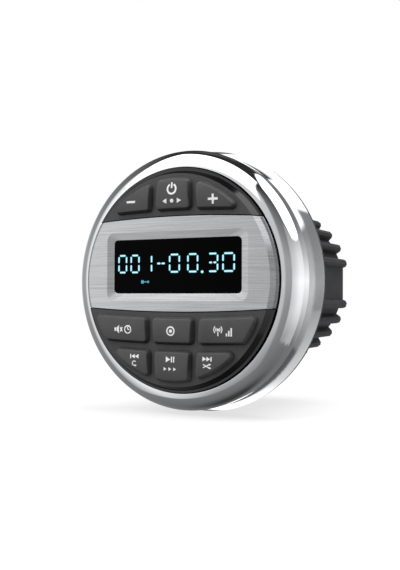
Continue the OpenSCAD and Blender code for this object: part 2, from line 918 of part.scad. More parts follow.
module rear_cover_seal() {
    color("#181818") part_frame() ring(cover_r, bore_r, cover_top_h, cover_seat_h);
}

module rear_cover_screws() {
    cover_screw_len = boss_end_h - boss_floor - screw_tip_gap - rear_h;
    color("#b8b8b8") part_frame() cover_screw_places() translate([0, 0, rear_h])
        screw(screw_r, screw_head_r, screw_head_t, cover_screw_len);
}

module mounting_studs() {
    color("#c8c8c8") part_frame() stud_places() {
        translate([0, 0, rear_h - stud_len]) cylinder(h = stud_len + over, d = stud_d);
        translate([0, 0, rear_h]) cylinder(h = cover_t + over, r = stud_neck_r);
        translate([0, 0, cover_top_h]) rotate(hex_turn) cylinder(h = stud_head_t, r = stud_head_r, $fn = 6);
    }
}

module power_inlet() {
    color("#1c1c1e") part_frame() difference() {
        slab(inlet_low_h, cover_top_h + inlet_in) inlet_outline(0);
        slab(inlet_low_h - over, inlet_low_h + inlet_mouth + inlet_pin_len) inlet_outline(-inlet_wall);
    }
}

module inlet_pins() {
    pitch = (inlet_w - 2 * inlet_wall) / inlet_pin_count;
    middle_h = inlet_low_h + inlet_mouth + inlet_pin_len / 2;
    color("goldenrod") part_frame() for (pin = [0 : inlet_pin_count - 1])
        translate([(pin - (inlet_pin_count - 1) / 2) * pitch, inlet_y, middle_h])
            cube([inlet_pin_w, inlet_pin_w, inlet_pin_len], center = true);
}

module antenna_socket() {
    color("#b9b3a4") part_frame() translate([antenna_x, socket_y, socket_low_h]) difference() {
        cylinder(h = cover_top_h + socket_in - socket_low_h, d = antenna_d);
        translate([0, 0, -over])
            cylinder(h = over + cover_top_h + socket_in - antenna_floor - socket_low_h, d = antenna_bore_d);
    }
}

module antenna_insulator() {
    color("#ece8dc") part_frame()
        translate([antenna_x, socket_y, cover_top_h + socket_in - antenna_floor - insulator_len])
            difference() {
                cylinder(h = insulator_len, r = antenna_bore_d / 2 - thread_gap);
                translate([0, 0, -over]) cylinder(h = insulator_len + 2 * over, r = antenna_pin_r);
            }
}

module line_out(place_x) {
    part_frame() translate([place_x, socket_y, socket_low_h]) difference() {
        cylinder(h = cover_top_h + socket_in - socket_low_h, d = line_out_d);
        translate([0, 0, -over]) cylinder(h = over + cover_top_h - socket_low_h, r = line_bore_r);
    }
}

module line_out_left() {
    color("#f0f0ec") line_out(line_out_x[1]);
}

module line_out_right() {
    color("#b02020") line_out(line_out_x[0]);
}

// Electronics on a chassis that is screwed to the rear cover

module chassis_plate() {
    foot_low_y = -chassis_y - chassis_foot_h;
    color("#c4c7ca") part_frame() difference() {
        union() {
            translate([-chassis_w / 2, -chassis_y - chassis_t, chassis_rear_h])
                cube([chassis_w, chassis_t, chassis_front_h - chassis_rear_h]);
            translate([-chassis_foot_w / 2, -chassis_y - chassis_t, cover_top_h])
                cube([chassis_foot_w, chassis_t, chassis_rear_h + over - cover_top_h]);
            translate([-chassis_foot_w / 2, foot_low_y, cover_top_h])
                cube([chassis_foot_w, chassis_foot_h, chassis_t]);
        }
        chassis_screw_places() translate([0, 0, cover_top_h - over])
            cylinder(h = chassis_t + 2 * over, r = small_screw_r + thread_gap);
    }
}

module chassis_screws() {
    color("#b8b8b8") part_frame() chassis_screw_places() translate([0, 0, rear_h])
        screw(small_screw_r, small_head_r, small_head_t, cover_t + chassis_t + chassis_screw_end);
}

// Places on the main board, drawn with the board's own up as z
module standoff_places(height) {
    for (side = [-1, 1], place_h = [standoff_rear_h, standoff_front_h])
        translate([side * standoff_x, height, place_h]) rotate([-90, 0, 0]) children();
}

module board_standoffs() {
    color("#c8b070") part_frame() standoff_places(-chassis_y) difference() {
        cylinder(h = standoff_h, r = standoff_r);
        translate([0, 0, -over]) cylinder(h = standoff_h + 2 * over, r = small_screw_r + thread_gap);
    }
}

module main_board() {
    color("#1f5a38") part_frame() difference() {
        translate([-main_board_w / 2, board_bottom_y, board_rear_h])
            cube([main_board_w, board_t, main_board_len]);
        standoff_places(board_bottom_y - over) cylinder(h = board_t + 2 * over, r = small_screw_r + fit_gap);
    }
}

module board_screws() {
    color("#b8b8b8") part_frame() standoff_places(board_top_y + small_head_t) mirror([0, 0, 1])
        screw(small_screw_r, small_head_r, small_head_t, small_head_t + board_t + standoff_h - fit_gap);
}

module heat_sink() {
    pitch = heat_sink_len / (fin_count - 1 + fin_share);
    color("#c4c7ca") part_frame()
        translate([heat_sink_x, board_top_y, parts_rear_h]) {
            translate([fin_depth, 0, 0]) cube([heat_sink_base, heat_sink_h, heat_sink_len]);
            for (fin = [0 : fin_count - 1])
                translate([0, 0, fin * pitch]) cube([fin_depth + sliver, heat_sink_h, pitch * fin_share]);
        }
}

module amplifier_chip() {
    color("#18181a") part_frame()
        translate([amplifier_x, board_top_y, parts_rear_h + (heat_sink_len - amplifier_len) / 2])
            cube([amplifier_w, amplifier_h, amplifier_len]);
}

module tuner_module() {
    color("#c9ccd0") part_frame() translate([tuner_x, board_top_y, parts_rear_h])
        cube([tuner_w, tuner_h, tuner_len]);
}

module capacitors() {
    color("#25406e") part_frame() for (place = [-1 : 1])
        translate([capacitor_x + place * capacitor_pitch, board_top_y, board_front_h - capacitor_front])
            rotate([-90, 0, 0]) cylinder(h = capacitor_h, d = capacitor_d);
}

module power_choke() {
    color("#a8642c") part_frame()
        translate([choke_x, board_top_y + choke_section_r, board_front_h - choke_front]) rotate([-90, 0, 0])
            rotate_extrude() translate([choke_r - choke_section_r, 0]) circle(r = choke_section_r);
}

chrome_bezel();
bezel_skirt();
panel_gasket();
bezel_seal();
fascia_plate();
upper_key_mat();
lower_key_mat();
display_lens();
display_panel();
display_holder();
key_body(0);  // volume_down_key
key_body(1);  // power_key
key_body(2);  // volume_up_key
key_body(3);  // mute_key
key_body(4);  // select_key
key_body(5);  // band_key
key_body(6);  // previous_key
key_body(7);  // play_key
key_body(8);  // next_key
key_pill(0);  // volume_down_pill
key_pill(1);  // power_pill
key_pill(2);  // volume_up_pill
key_pill(3);  // mute_pill
key_pill(4);  // select_pill
key_pill(5);  // band_pill
key_pill(6);  // previous_pill
key_pill(7);  // play_pill
key_pill(8);  // next_pill
face_carrier();
contact_membrane();
contact_pads();
control_board();
logic_chips();
ribbon_sockets();
link_ribbon();
front_case();
face_screws();
housing_screws();
rear_housing();
rear_cover();
rear_cover_seal();
rear_cover_screws();
mounting_studs();
power_inlet();
inlet_pins();
antenna_socket();
antenna_insulator();
line_out_left();
line_out_right();
chassis_plate();
chassis_screws();
board_standoffs();
main_board();
board_screws();
heat_sink();
amplifier_chip();
tuner_module();
capacitors();
power_choke();
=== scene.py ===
# %% [markdown]
# # A round marine stereo
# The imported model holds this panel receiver's pieces at their real size. The lesson gives it
# its looks: the chrome ring, the brushed band, the rubber keys with their marks, the lit
# digits, and a finish for each piece behind them. Blender works in metres, in the model's own
# frame: the face looks towards -Y, X runs to the right and Z runs up. The object's sizes below
# are written in millimetres.

# %% Load the frame
import json

import bmesh
import bpy
import numpy as np
from mathutils import Matrix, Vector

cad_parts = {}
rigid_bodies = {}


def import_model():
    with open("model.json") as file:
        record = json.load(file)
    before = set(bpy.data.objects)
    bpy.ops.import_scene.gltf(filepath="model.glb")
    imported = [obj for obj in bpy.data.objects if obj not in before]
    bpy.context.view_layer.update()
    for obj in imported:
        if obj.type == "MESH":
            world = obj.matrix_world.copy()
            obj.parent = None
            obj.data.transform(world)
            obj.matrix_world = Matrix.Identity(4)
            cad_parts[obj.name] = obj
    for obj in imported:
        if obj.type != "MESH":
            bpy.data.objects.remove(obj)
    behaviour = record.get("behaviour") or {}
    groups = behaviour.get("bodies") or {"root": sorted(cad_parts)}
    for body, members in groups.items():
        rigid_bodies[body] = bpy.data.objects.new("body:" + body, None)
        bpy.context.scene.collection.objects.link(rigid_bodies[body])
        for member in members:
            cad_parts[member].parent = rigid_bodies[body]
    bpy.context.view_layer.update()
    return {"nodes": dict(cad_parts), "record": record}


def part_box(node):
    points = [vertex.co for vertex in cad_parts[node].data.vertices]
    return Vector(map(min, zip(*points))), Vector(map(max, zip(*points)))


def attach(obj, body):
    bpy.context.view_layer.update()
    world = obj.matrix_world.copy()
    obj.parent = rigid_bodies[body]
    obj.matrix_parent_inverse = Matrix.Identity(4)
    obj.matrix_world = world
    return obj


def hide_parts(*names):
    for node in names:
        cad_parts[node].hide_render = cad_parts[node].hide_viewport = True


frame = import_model()
MM = 0.001


# %% [markdown]
# ## The camera
# The camera comes first, because every later choice is compared with the photograph. It could
# be set by eye, but the rings of the face give it more exactly: the ellipse of each ring fixes
# the three angles and the distance. The camera stands to the right of the axis and a little
# below it, and its matrix is built from its own right, up and back directions.

# %% Camera at the photograph's angle
aim = np.array([0.0, -24.5, 0.0])
yaw, pitch, roll = np.radians([31.0, -1.0, 0.25])
camera_distance = 394.0
slide_right, slide_up = 9.48, -2.1
focal_px, frame_px, sensor_mm = 930, 570, 36.0


def placed(sideways, upwards, backwards, place):
    """Matrix whose columns are an object's own three directions and its place, in metres."""
    rows = np.eye(4)
    rows[:3, :] = np.column_stack([sideways, upwards, backwards, place])
    return Matrix(rows.tolist())


def add_object(name, data):
    """A new object with a mesh, lamp or camera, linked to the scene."""
    made = bpy.data.objects.new(name, data)
    bpy.context.scene.collection.objects.link(made)
    return made


right = np.array([np.cos(yaw), np.sin(yaw), 0.0])
back = np.array([np.sin(yaw), -np.cos(yaw), 0.0])
up = np.array([0.0, 0.0, 1.0])
back, up = np.cos(pitch) * back + np.sin(pitch) * up, np.cos(pitch) * up - np.sin(pitch) * back
right, up = np.cos(roll) * right + np.sin(roll) * up, np.cos(roll) * up - np.sin(roll) * right
camera_place = aim + slide_right * right + slide_up * up + camera_distance * back

camera_data = bpy.data.cameras.new("camera")
camera_data.sensor_width = sensor_mm
camera_data.lens = focal_px / frame_px * sensor_mm
camera_data.clip_start = 0.01
camera = add_object("camera", camera_data)
camera.matrix_world = placed(right, up, back, camera_place * MM)
bpy.context.scene.camera = camera
bpy.context.scene.view_settings.view_transform = "Standard"
print("lens, mm:", round(camera_data.lens, 2))

# %% [markdown]
# ## Sizes from the frame
# A size that a node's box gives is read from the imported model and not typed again: radii, and
# heights, which are counted forward from the panel, so a height is minus y. What no box can
# tell, such as the radius of a long arc or the width of a bevel, is written where it is needed.

# %% Read the main sizes


def node_span(node, axis):
    """Lowest and highest place of a node along an axis (0, 1 or 2), in millimetres."""
    low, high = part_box(node)
    return low[axis] / MM, high[axis] / MM


def heights(node):
    """Rear and front height of a node forward of the panel, in millimetres."""
    low, high = node_span(node, 1)
    return -high, -low


bezel_r = node_span("chrome_bezel", 0)[1]
skirt_r = node_span("bezel_skirt", 0)[1]
face_r = node_span("fascia_plate", 0)[1]
skirt_rear_h, skirt_front_h = heights("bezel_skirt")
crest_h = heights("chrome_bezel")[1]
face_seat_h, plateau_h = heights("fascia_plate")
lens_front_h = heights("display_lens")[1]
key_low_h, key_top_h = heights("power_key")
cover_rear_h, cover_front_h = heights("rear_cover")
print("bezel radius", round(bezel_r, 2), "face radius", round(face_r, 2), "key top", round(key_top_h, 2))

# %% [markdown]
# ## From numbers to meshes
# Each new piece is a grid of points: a function of two parameters, worked out as whole arrays.
# Blender could also draw these with operators, but a formula is exact and gives the same
# result each time. One helper turns front-view places into the model's frame, one lists the
# quads of a grid, and one makes the object, merges its doubles and turns its faces outwards.

# %% Points and quads


def from_front(x, z, h):
    """Front-view places (x to the right, z up, h forward) as points (x, -h, z), in metres."""
    x, z, h = np.broadcast_arrays(x, z, h)
    return np.stack([x, -h, z], axis=-1).reshape(-1, 3) * MM


def grid_quads(rows, columns, wrap_rows=False, wrap_columns=False):
    """Quads of a grid, each from a point to its neighbours on the next row and column."""
    row = np.arange(rows if wrap_rows else rows - 1)[:, None]
    column = np.arange(columns if wrap_columns else columns - 1)[None, :]
    next_row = (row + 1) % rows
    next_column = (column + 1) % columns
    corners = [
        row * columns + column,
        row * columns + next_column,
        next_row * columns + next_column,
        next_row * columns + column,
    ]
    return np.stack(np.broadcast_arrays(*corners), axis=-1).reshape(-1, 4).tolist()


print("a grid of 3 by 4 points has", len(grid_quads(3, 4)), "quads")

# %% From points to a piece
merge_gap = 0.0002


def join(parts):
    """One list of points and one of faces from several of each."""
    starts = np.cumsum([0] + [len(points) for points, _ in parts])
    points = np.concatenate([points for points, _ in parts])
    faces = [[corner + start for corner in face] for (_, own), start in zip(parts, starts) for face in own]
    return points, faces


def make_mesh(name, points, faces, crease=30.0, across=None):
    """A mesh with merged doubles and outward faces, smooth where it bends by less than the crease.
    Values across a stroke, one for each point, become an attribute of that name."""
    mesh = bpy.data.meshes.new(name)
    mesh.from_pydata(points.tolist(), [], faces)
    if across is not None:
        mesh.attributes.new("across", "FLOAT", "POINT").data.foreach_set("value", across)
    sheet = bmesh.new()
    sheet.from_mesh(mesh)
    bmesh.ops.remove_doubles(sheet, verts=sheet.verts, dist=merge_gap * MM)
    bmesh.ops.dissolve_degenerate(sheet, edges=sheet.edges, dist=merge_gap * MM)
    bmesh.ops.recalc_face_normals(sheet, faces=sheet.faces)
    sheet.to_mesh(mesh)
    sheet.free()
    mesh.shade_smooth()
    mesh.set_sharp_from_angle(angle=np.radians(crease))
    return mesh


def add_piece(name, parts, body, slot, replaced=(), crease=30.0, across=None):
    """An object made of parts that rides on a body, takes a slot's finish and stands for CAD nodes."""
    mesh = make_mesh(name, *join(parts), crease, across)
    piece = add_object(name, mesh)
    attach(piece, body)
    piece["finish"] = slot
    if replaced:
        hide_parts(*replaced)
    print(name, len(mesh.polygons), "faces")
    return piece


print("points within", merge_gap, "mm become one")

# %% [markdown]
# ## The chrome ring
# On the real receiver the ring is a die casting, polished and plated: a round nose, a lip that
# holds the face, and a plain band towards the panel. It could be a lathe modifier on a drawn line.
# Here a section is carried round the axis by a formula. The nose is most of a quarter of an
# ellipse, with a point at every degree or less, because a mirror shows the least corner. It meets
# the plain band in a crisp line, and the lip's corners are softened.

# %% Turned pieces


def soften(corners, cuts, steps=7):
    """An open line of corners, each cut back by its length along both sides and bridged by the
    parabola (1-s)(1-s) A + 2 s (1-s) C + s s B that touches both sides."""
    corners = np.asarray(corners, float)
    middle, before, after = corners[1:-1], corners[:-2], corners[2:]
    cuts = np.asarray(cuts, float)[:, None]
    start = middle + cuts * (before - middle) / np.linalg.norm(before - middle, axis=1, keepdims=True)
    end = middle + cuts * (after - middle) / np.linalg.norm(after - middle, axis=1, keepdims=True)
    s = np.linspace(0, 1, steps)[:, None, None]
    curve = (1 - s) ** 2 * start + 2 * s * (1 - s) * middle + s**2 * end
    inner = curve.transpose(1, 0, 2).reshape(-1, 2)
    return np.concatenate([corners[:1], inner, corners[-1:]])


def revolve(section, steps=300):
    """A turned piece: the closed section (r, h) carried round the axis, point (r cos t, r sin t, h)."""
    turn = np.linspace(0, 2 * np.pi, steps, endpoint=False)[:, None]
    radius, height = np.asarray(section).T
    points = from_front(radius * np.cos(turn), radius * np.sin(turn), height)
    return points, grid_quads(steps, len(radius), True, True)


print("one softened corner between two ends:", len(soften([[0, 0], [1, 0], [1, 1]], [0.2])), "points")

# %% Section of the ring
nose_w, nose_rise, ring_w, lip_t = 9.6, 6.7, 7.8, 2.6
band_draft, lip_edge, seal_gap = 0.4, 0.35, 0.3
nose_start, nose_steps = np.radians(11.0), 90
widest_h, lip_low_h = crest_h - nose_rise, crest_h - lip_t
bore_r = bezel_r - ring_w
ring_inner_r = node_span("bezel_seal", 0)[1] + seal_gap

lip_turn = np.arccos((bore_r + lip_edge - bezel_r + nose_w) / nose_w)
nose_turn = np.linspace(nose_start, lip_turn, nose_steps)
nose = np.column_stack([
    bezel_r - nose_w + nose_w * np.cos(nose_turn),
    widest_h + (crest_h - widest_h) * np.sin(nose_turn),
])
(before_r, before_h), (last_r, last_h) = nose[-2:]
lip_corner = [bore_r, last_h + (last_h - before_h) * lip_edge / (before_r - last_r)]
ring_corners = [
    nose[-1], lip_corner, [bore_r, lip_low_h], [ring_inner_r, lip_low_h],
    [ring_inner_r, skirt_front_h], [bezel_r - band_draft, skirt_front_h], nose[0],
]
ring_cuts = [0.3, 0.2, 0.0, 0.0, 0.25]
ring_section = np.concatenate([nose, soften(ring_corners, ring_cuts)[1:-1]])
add_piece("chrome_ring", [revolve(ring_section)], "housing", "bright_chrome", ["chrome_bezel"], crease=14.0)

# %% [markdown]
# ## The skirt
# Behind the ring a second ring flares towards the panel and covers the edge of its hole. It is
# turned in the same way. Its front is a little narrower than the chrome ring, so that a fine step
# parts the two, and its widest edge is rounded.

# %% Section of the skirt
skirt_step, skirt_wall, skirt_lip = 0.3, 2.9, 7.3
skirt_front_r = bezel_r - band_draft - skirt_step
skirt_bore_r = skirt_r - skirt_wall
skirt_lip_h = heights("front_case")[0] + skirt_lip
skirt_corners = [
    [skirt_bore_r, skirt_rear_h], [skirt_r, skirt_rear_h], [skirt_front_r, skirt_front_h],
    [ring_inner_r, skirt_front_h], [ring_inner_r, skirt_lip_h], [skirt_bore_r, skirt_lip_h],
    [skirt_bore_r, skirt_rear_h],
]
skirt_cuts = [0.5, 0.2, 0.0, 0.0, 0.0]
skirt_section = soften(skirt_corners, skirt_cuts)[:-1]
add_piece("skirt_ring", [revolve(skirt_section)], "housing", "satin_chrome", ["bezel_skirt"])

# %% [markdown]
# ## Outlines as distances
# The window, the band and the keys are bounded by straight lines and long arcs with rounded
# corners. Their outlines could be drawn point by point. Here each is a distance function, below
# zero inside and above it outside, and the outline is where it passes a chosen value. A ray
# from the piece's middle finds that place by halving. Growing or shrinking an outline, for a
# draft or a rounded edge, is then only another value.

# %% Edges


def arc_edge(centre_z, radius, keep_outside=False):
    """Edge on a circle about (0, centre_z): the distance past it, and the direction of leaving it."""
    side = -1.0 if keep_outside else 1.0

    def edge(x, z):
        far = np.hypot(x, z - centre_z)
        return side * (far - radius), side * x / far, side * (z - centre_z) / far

    return edge


def upright_edge(place, side, lean=0.0, level=0.0):
    """Edge at x = place that is left towards +X (side 1) or -X (side -1). With a lean it is the line
    x = place + lean (z - level)."""
    length = np.hypot(1.0, lean)

    def edge(x, z):
        past = side * (x - place - lean * (z - level)) / length
        return past, np.full_like(x, side / length), np.full_like(x, -side * lean / length)

    return edge


print("13 mm out, a circle of 10 mm is passed by", arc_edge(0.0, 10.0)(13.0, 0.0)[0], "mm")

# %% Rounded corners, rays and skins
least_sine_square = 0.02


def rounded(edges, corner):
    """Distance from the outline between edges. Beside one edge it is the distance to that edge.
    Beyond two, which lean by the angle f, it is sqrt(aa + bb - 2 ab cos f) / sin f less the corner's
    radius, with a and b counted from edges moved in by that radius. Edges that are nearly in line
    have no corner between them."""

    def distance(x, z):
        found = [edge(x, z) for edge in edges]
        far = np.max([own[0] for own in found], axis=0) + corner
        for first, (a, ax, az) in enumerate(found):
            for b, bx, bz in found[first + 1:]:
                a_in, b_in = a + corner, b + corner
                lean = ax * bx + az * bz
                sine_square = np.maximum(1 - lean**2, least_sine_square)
                beyond = (a_in > b_in * lean) & (b_in > a_in * lean) & (sine_square > least_sine_square)
                square = np.maximum(a_in**2 + b_in**2 - 2 * a_in * b_in * lean, 0)
                far = np.where(beyond, np.maximum(far, np.sqrt(square / sine_square)), far)
        return far - corner

    return distance


def ray_outline(distance, middle, turns, grow=0.0, longest=70.0, halvings=36):
    """Where rays from the middle reach the distance grow, found by halving a bracket again and again."""
    low, high = np.zeros_like(turns), np.full_like(turns, longest)
    for _ in range(halvings):
        half = (low + high) / 2
        inside = distance(middle[0] + half * np.cos(turns), middle[1] + half * np.sin(turns)) < grow
        low, high = np.where(inside, half, low), np.where(inside, high, half)
    return middle[0] + half * np.cos(turns), middle[1] + half * np.sin(turns)


def stack_loops(loops, close=False):
    """A skin over loops of as many points each, from the first loop to the last."""
    points = np.concatenate([from_front(x, z, h) for x, z, h in loops])
    return points, grid_quads(len(loops), len(points) // len(loops), close, True)


disc = rounded([arc_edge(0.0, 10.0)], 0.0)
disc_x = ray_outline(disc, (0.0, 0.0), np.zeros(1))[0]
print("a ray to the right leaves a disc of 10 mm at", round(disc_x[0], 3), "mm")

# %% [markdown]
# ## The brushed band
# The silver band is pressed from sheet metal and brushed along its length. A bevel sinks towards
# the window, and its two ends bend down over the rim of the face. It is one skin of loops: up
# the window's edge, out over the bevel, the flat and the rim, and back underneath. The height
# at a radius is the face's own profile, so the band stays in line with the rubber beside it.

# %% Face, window and band
rim_w, bevel_w, bevel_rise = 1.0, 1.7, 2.4
plateau_r = face_r - rim_w - bevel_w
band_top, band_top_r = 26.9, 520.0
band_bottom, band_bottom_r = 13.4, 650.0
top_arc_z = band_top - band_top_r
bottom_arc_z = band_bottom_r - band_bottom
window_w, window_h, window_z, window_corner = 63.6, 23.2, 5.9, 2.0
frame_w, frame_depth, lens_step, pocket_grow = 3.2, 0.8, 1.2, 1.7
window_top_h = plateau_h - frame_depth
lens_step_h = window_top_h - lens_step
window_middle = np.array([0.0, window_z])
band_edge, band_corner = 0.12, 0.05
band_turns = np.linspace(0, 2 * np.pi, 1200, endpoint=False)


def face_height(x, z):
    """Height of the face: its flat, then the bevel down to the rim."""
    return plateau_h - bevel_rise * np.clip((np.hypot(x, z) - plateau_r) / bevel_w, 0, 1)


def window_distance(grow):
    """Distance from the grown outline of the window: how far a place lies beyond the box of the
    corners' middles, less the corner's radius, which grows by half as much as the outline."""

    def distance(x, z):
        corner = window_corner + grow / 2
        beyond_x = np.abs(x) - window_w / 2 - grow + corner
        beyond_z = np.abs(z - window_z) - window_h / 2 - grow + corner
        outside = np.hypot(np.maximum(beyond_x, 0), np.maximum(beyond_z, 0))
        return outside + np.minimum(np.maximum(beyond_x, beyond_z), 0) - corner

    return distance


def window_loop(grow, height):
    """The window's outline grown by a distance, at a height."""
    x, z = ray_outline(window_distance(grow), window_middle, band_turns)
    return x, z, np.full_like(x, height)


def band_loop(radius, grow=0.0, height=None):
    """The band's outline out to a radius of the face, at the face's own height or a given one."""
    edges = [arc_edge(top_arc_z, band_top_r), arc_edge(bottom_arc_z, band_bottom_r), arc_edge(0.0, radius)]
    x, z = ray_outline(rounded(edges, band_corner), window_middle, band_turns, grow)
    return x, z, face_height(x, z) if height is None else np.full_like(x, height)


print("flat of the face reaches", round(plateau_r, 2), "mm out, window is", window_w, "by", window_h, "mm")

# %% Skin of the band
rim_loop = band_loop(face_r, -band_edge)
under_edge = (*band_loop(face_r)[:2], rim_loop[2] - band_edge)
band_loops = [
    window_loop(0.0, lens_step_h),
    window_loop(0.0, window_top_h - band_edge),
    window_loop(band_edge, window_top_h),
    window_loop(frame_w - band_edge, plateau_h - band_edge / 4),
    window_loop(frame_w, plateau_h),
    window_loop(frame_w + band_edge, plateau_h),
    band_loop(plateau_r, -band_edge),
    band_loop(plateau_r + band_edge, -band_edge),
    band_loop(face_r - rim_w, -band_edge),
    rim_loop,
    under_edge,
    band_loop(face_r, 0.0, face_seat_h),
    window_loop(pocket_grow, face_seat_h),
    window_loop(pocket_grow, lens_step_h),
]
band_skin = stack_loops(band_loops, close=True)
add_piece("silver_band", [band_skin], "housing", "brushed_silver", ["fascia_plate"], crease=20.0)

# %% [markdown]
# ## The rubber keys
# Each key is a moulded rubber cap with a flange behind the face that stops it from falling out.
# Its outline lies between the band's long arcs, an upright gap and the round edge of the face.
# The skin runs from the flange up the leaning side, over a rounded edge and across a slightly
# crowned top. The top narrows a little towards the rim of the face while the foot stays upright,
# so it has an outline of its own. The crown makes the upper part of each key catch more light.

# %% Edges of the nine keys
upper_gap, lower_gap, middle_row, row_gap, column_gap, rim_gap = 3.1, 3.0, 10.0, 4.0, 3.9, 2.6
key_arc_r = plateau_r - rim_gap
key_rows = {
    "upper": ["volume_down", "power", "volume_up"],
    "middle": ["mute", "select", "band"],
    "bottom": ["previous", "play", "next"],
}
row_halves = {"upper": 7.9, "middle": 9.35, "bottom": 8.2}
row_levels = {"upper": 36.0, "middle": -21.4, "bottom": -36.0}
row_edges = {
    "upper": [arc_edge(top_arc_z, band_top_r + upper_gap, True)],
    "middle": [
        arc_edge(bottom_arc_z, band_bottom_r + lower_gap, True),
        arc_edge(bottom_arc_z, band_bottom_r + lower_gap + middle_row),
    ],
    "bottom": [arc_edge(bottom_arc_z, band_bottom_r + lower_gap + middle_row + row_gap, True)],
}


def key_edges(row, column, lean=0.0):
    """Edges of the key in a row's left (0), middle (1) or right (2) column. The sides next to a
    gap lean by that much towards the middle as they go outwards from it."""
    half, level = row_halves[row], row_levels[row]
    inwards = -lean * np.sign(level)
    sides = {
        0: [upright_edge(-half - column_gap, 1.0, -inwards, level)],
        1: [upright_edge(-half, -1.0, -inwards, level), upright_edge(half, 1.0, inwards, level)],
        2: [upright_edge(half + column_gap, -1.0, inwards, level)],
    }
    return row_edges[row] + sides[column] + [arc_edge(0.0, key_arc_r)]


def deepest_place(distance, key, steps=120):
    """The place of a key's box that lies deepest inside its outline, tried on a grid."""
    x, z = np.meshgrid(np.linspace(*node_span(key, 0), steps), np.linspace(*node_span(key, 2), steps))
    deepest = np.argmin(distance(x, z))
    return np.array([x.flat[deepest], z.flat[deepest]])


print("keys reach", round(key_arc_r, 2), "mm out")

# %% Skins of the nine keys
key_corner, key_edge, key_draft, key_crown = 1.2, 0.35, 0.9, 0.72
flange_grow, stem_grow, top_lean = 1.35, 0.35, 0.07
flange_gap, stem_depth, brim_depth = 0.3, 0.6, 0.5
flange_top_h = face_seat_h - flange_gap
edge_steps, top_steps = 7, 9
key_turns = np.linspace(0, 2 * np.pi, 540, endpoint=False)


def crown_drop(key):
    """How far a key's top lies below its highest line: crown times the square of the place across."""
    low, high = node_span(key, 2)
    return lambda z: key_crown * ((z - (low + high) / 2) / ((high - low) / 2)) ** 2


def key_skin(key, foot, top):
    """A key as loops: flange, stem, side, edge as a quarter circle, and a top that closes in its
    middle. The side runs from the foot's outline to the top's, both found along the same rays."""
    middle = deepest_place(foot, key)
    drop = crown_drop(key)
    side = [
        (flange_grow, key_low_h), (flange_grow, flange_top_h), (stem_grow, flange_top_h),
        (stem_grow, plateau_h - stem_depth), (key_draft, plateau_h - brim_depth), (key_draft, plateau_h),
    ]
    loops = [(np.full_like(key_turns, middle[0]), np.full_like(key_turns, middle[1]), key_low_h)]
    for grow, height in side:
        loops.append((*ray_outline(foot, middle, key_turns, grow), height))
    for turn in np.linspace(0, np.pi / 2, edge_steps):
        x, z = ray_outline(top, middle, key_turns, -key_edge * (1 - np.cos(turn)))
        loops.append((x, z, key_top_h - key_edge * (1 - np.sin(turn)) - drop(z)))
    rim_x, rim_z = loops[-1][:2]
    for share in np.linspace(1, 0, top_steps)[1:]:
        x, z = middle[0] + share * (rim_x - middle[0]), middle[1] + share * (rim_z - middle[1])
        loops.append((x, z, key_top_h - drop(z)))
    return stack_loops(loops)


for row, names in key_rows.items():
    for column, name in enumerate(names):
        key = name + "_key"
        foot = rounded(key_edges(row, column), key_corner)
        top = rounded(key_edges(row, column, top_lean), key_corner)
        skin = key_skin(key, foot, top)
        add_piece(name + "_cap", [skin], name + "_button", "key_rubber", [key], crease=35.0)

# %% [markdown]
# ## Marks on the keys
# The marks are printed white. They could be a texture, but a thin raised shape stays sharp from
# any distance and has a mesh of its own. Each mark is made of strokes: a flat section carried
# along a path, whose width may change. A triangle is a stroke that narrows to nothing, and a
# ring is a stroke round a circle. The marks are plain signs of the kind that any receiver has.

# %% The section of a stroke
mark_t = 0.07
stroke_across = np.array([-1.0, -0.5, 0.0, 0.5, 1.0, 1.0, -1.0])
stroke_raised = np.array([1.0, 1.0, 1.0, 1.0, 1.0, -1.0, -1.0])


def stroke(path, width, height, lift=mark_t, closed=False):
    """A flat bar along a path: five places across it on top and two below, as a closed section.
    Each lies at path + side * width / 2 * v, where side is the path's direction turned by a quarter."""
    path = np.asarray(path, float)
    ahead = np.gradient(path, axis=0)
    if closed:
        ahead = np.roll(path, -1, axis=0) - np.roll(path, 1, axis=0)
    ahead /= np.linalg.norm(ahead, axis=1, keepdims=True)
    half = np.broadcast_to(width, len(path))[:, None] / 2
    x = path[:, :1] - ahead[:, 1:] * half * stroke_across
    z = path[:, 1:] + ahead[:, :1] * half * stroke_across
    points = from_front(x, z, height(x, z) + lift * stroke_raised)
    count = len(stroke_across)
    faces = grid_quads(len(path), count, closed, True)
    if not closed:
        last = (len(path) - 1) * count
        faces += [list(range(count)), list(range(last, last + count))]
    return points, faces


print("a stroke's section has", len(stroke_across), "corners and rises", mark_t, "mm")

# %% Bars, triangles, rings and spots
tip_w, spot_end = 0.02, 0.02


def bar(start, end, width, steps=5):
    """A straight stroke: its path, its width, and that it isn't closed."""
    return np.linspace(start, end, steps), width, False


def triangle(base, tip, width, steps=6):
    """A stroke that narrows evenly from its base to a point."""
    return np.linspace(base, tip, steps), np.linspace(width, tip_w, steps), False


def circle_stroke(centre, radius, width, start=0.0, sweep=360.0, steps=48):
    """A stroke round a circle, or round a part of it that starts at an angle in degrees."""
    whole = sweep >= 360
    turn = np.radians(start + np.linspace(0, sweep, steps, endpoint=not whole))
    path = np.column_stack([centre[0] + radius * np.cos(turn), centre[1] + radius * np.sin(turn)])
    return path, width, whole


def dot(centre, radius, steps=17):
    """A round spot: a short straight stroke that is as wide as a circle is at each place, 2 r sin t."""
    turn = np.linspace(spot_end, np.pi - spot_end, steps)
    path = np.column_stack([centre[0] - radius * np.cos(turn), np.full_like(turn, centre[1])])
    return path, 2 * radius * np.sin(turn), False


print("a ring's path has", len(circle_stroke((0.0, 0.0), 1.0, 0.2)[0]), "places")

# %% Signs of the upper row


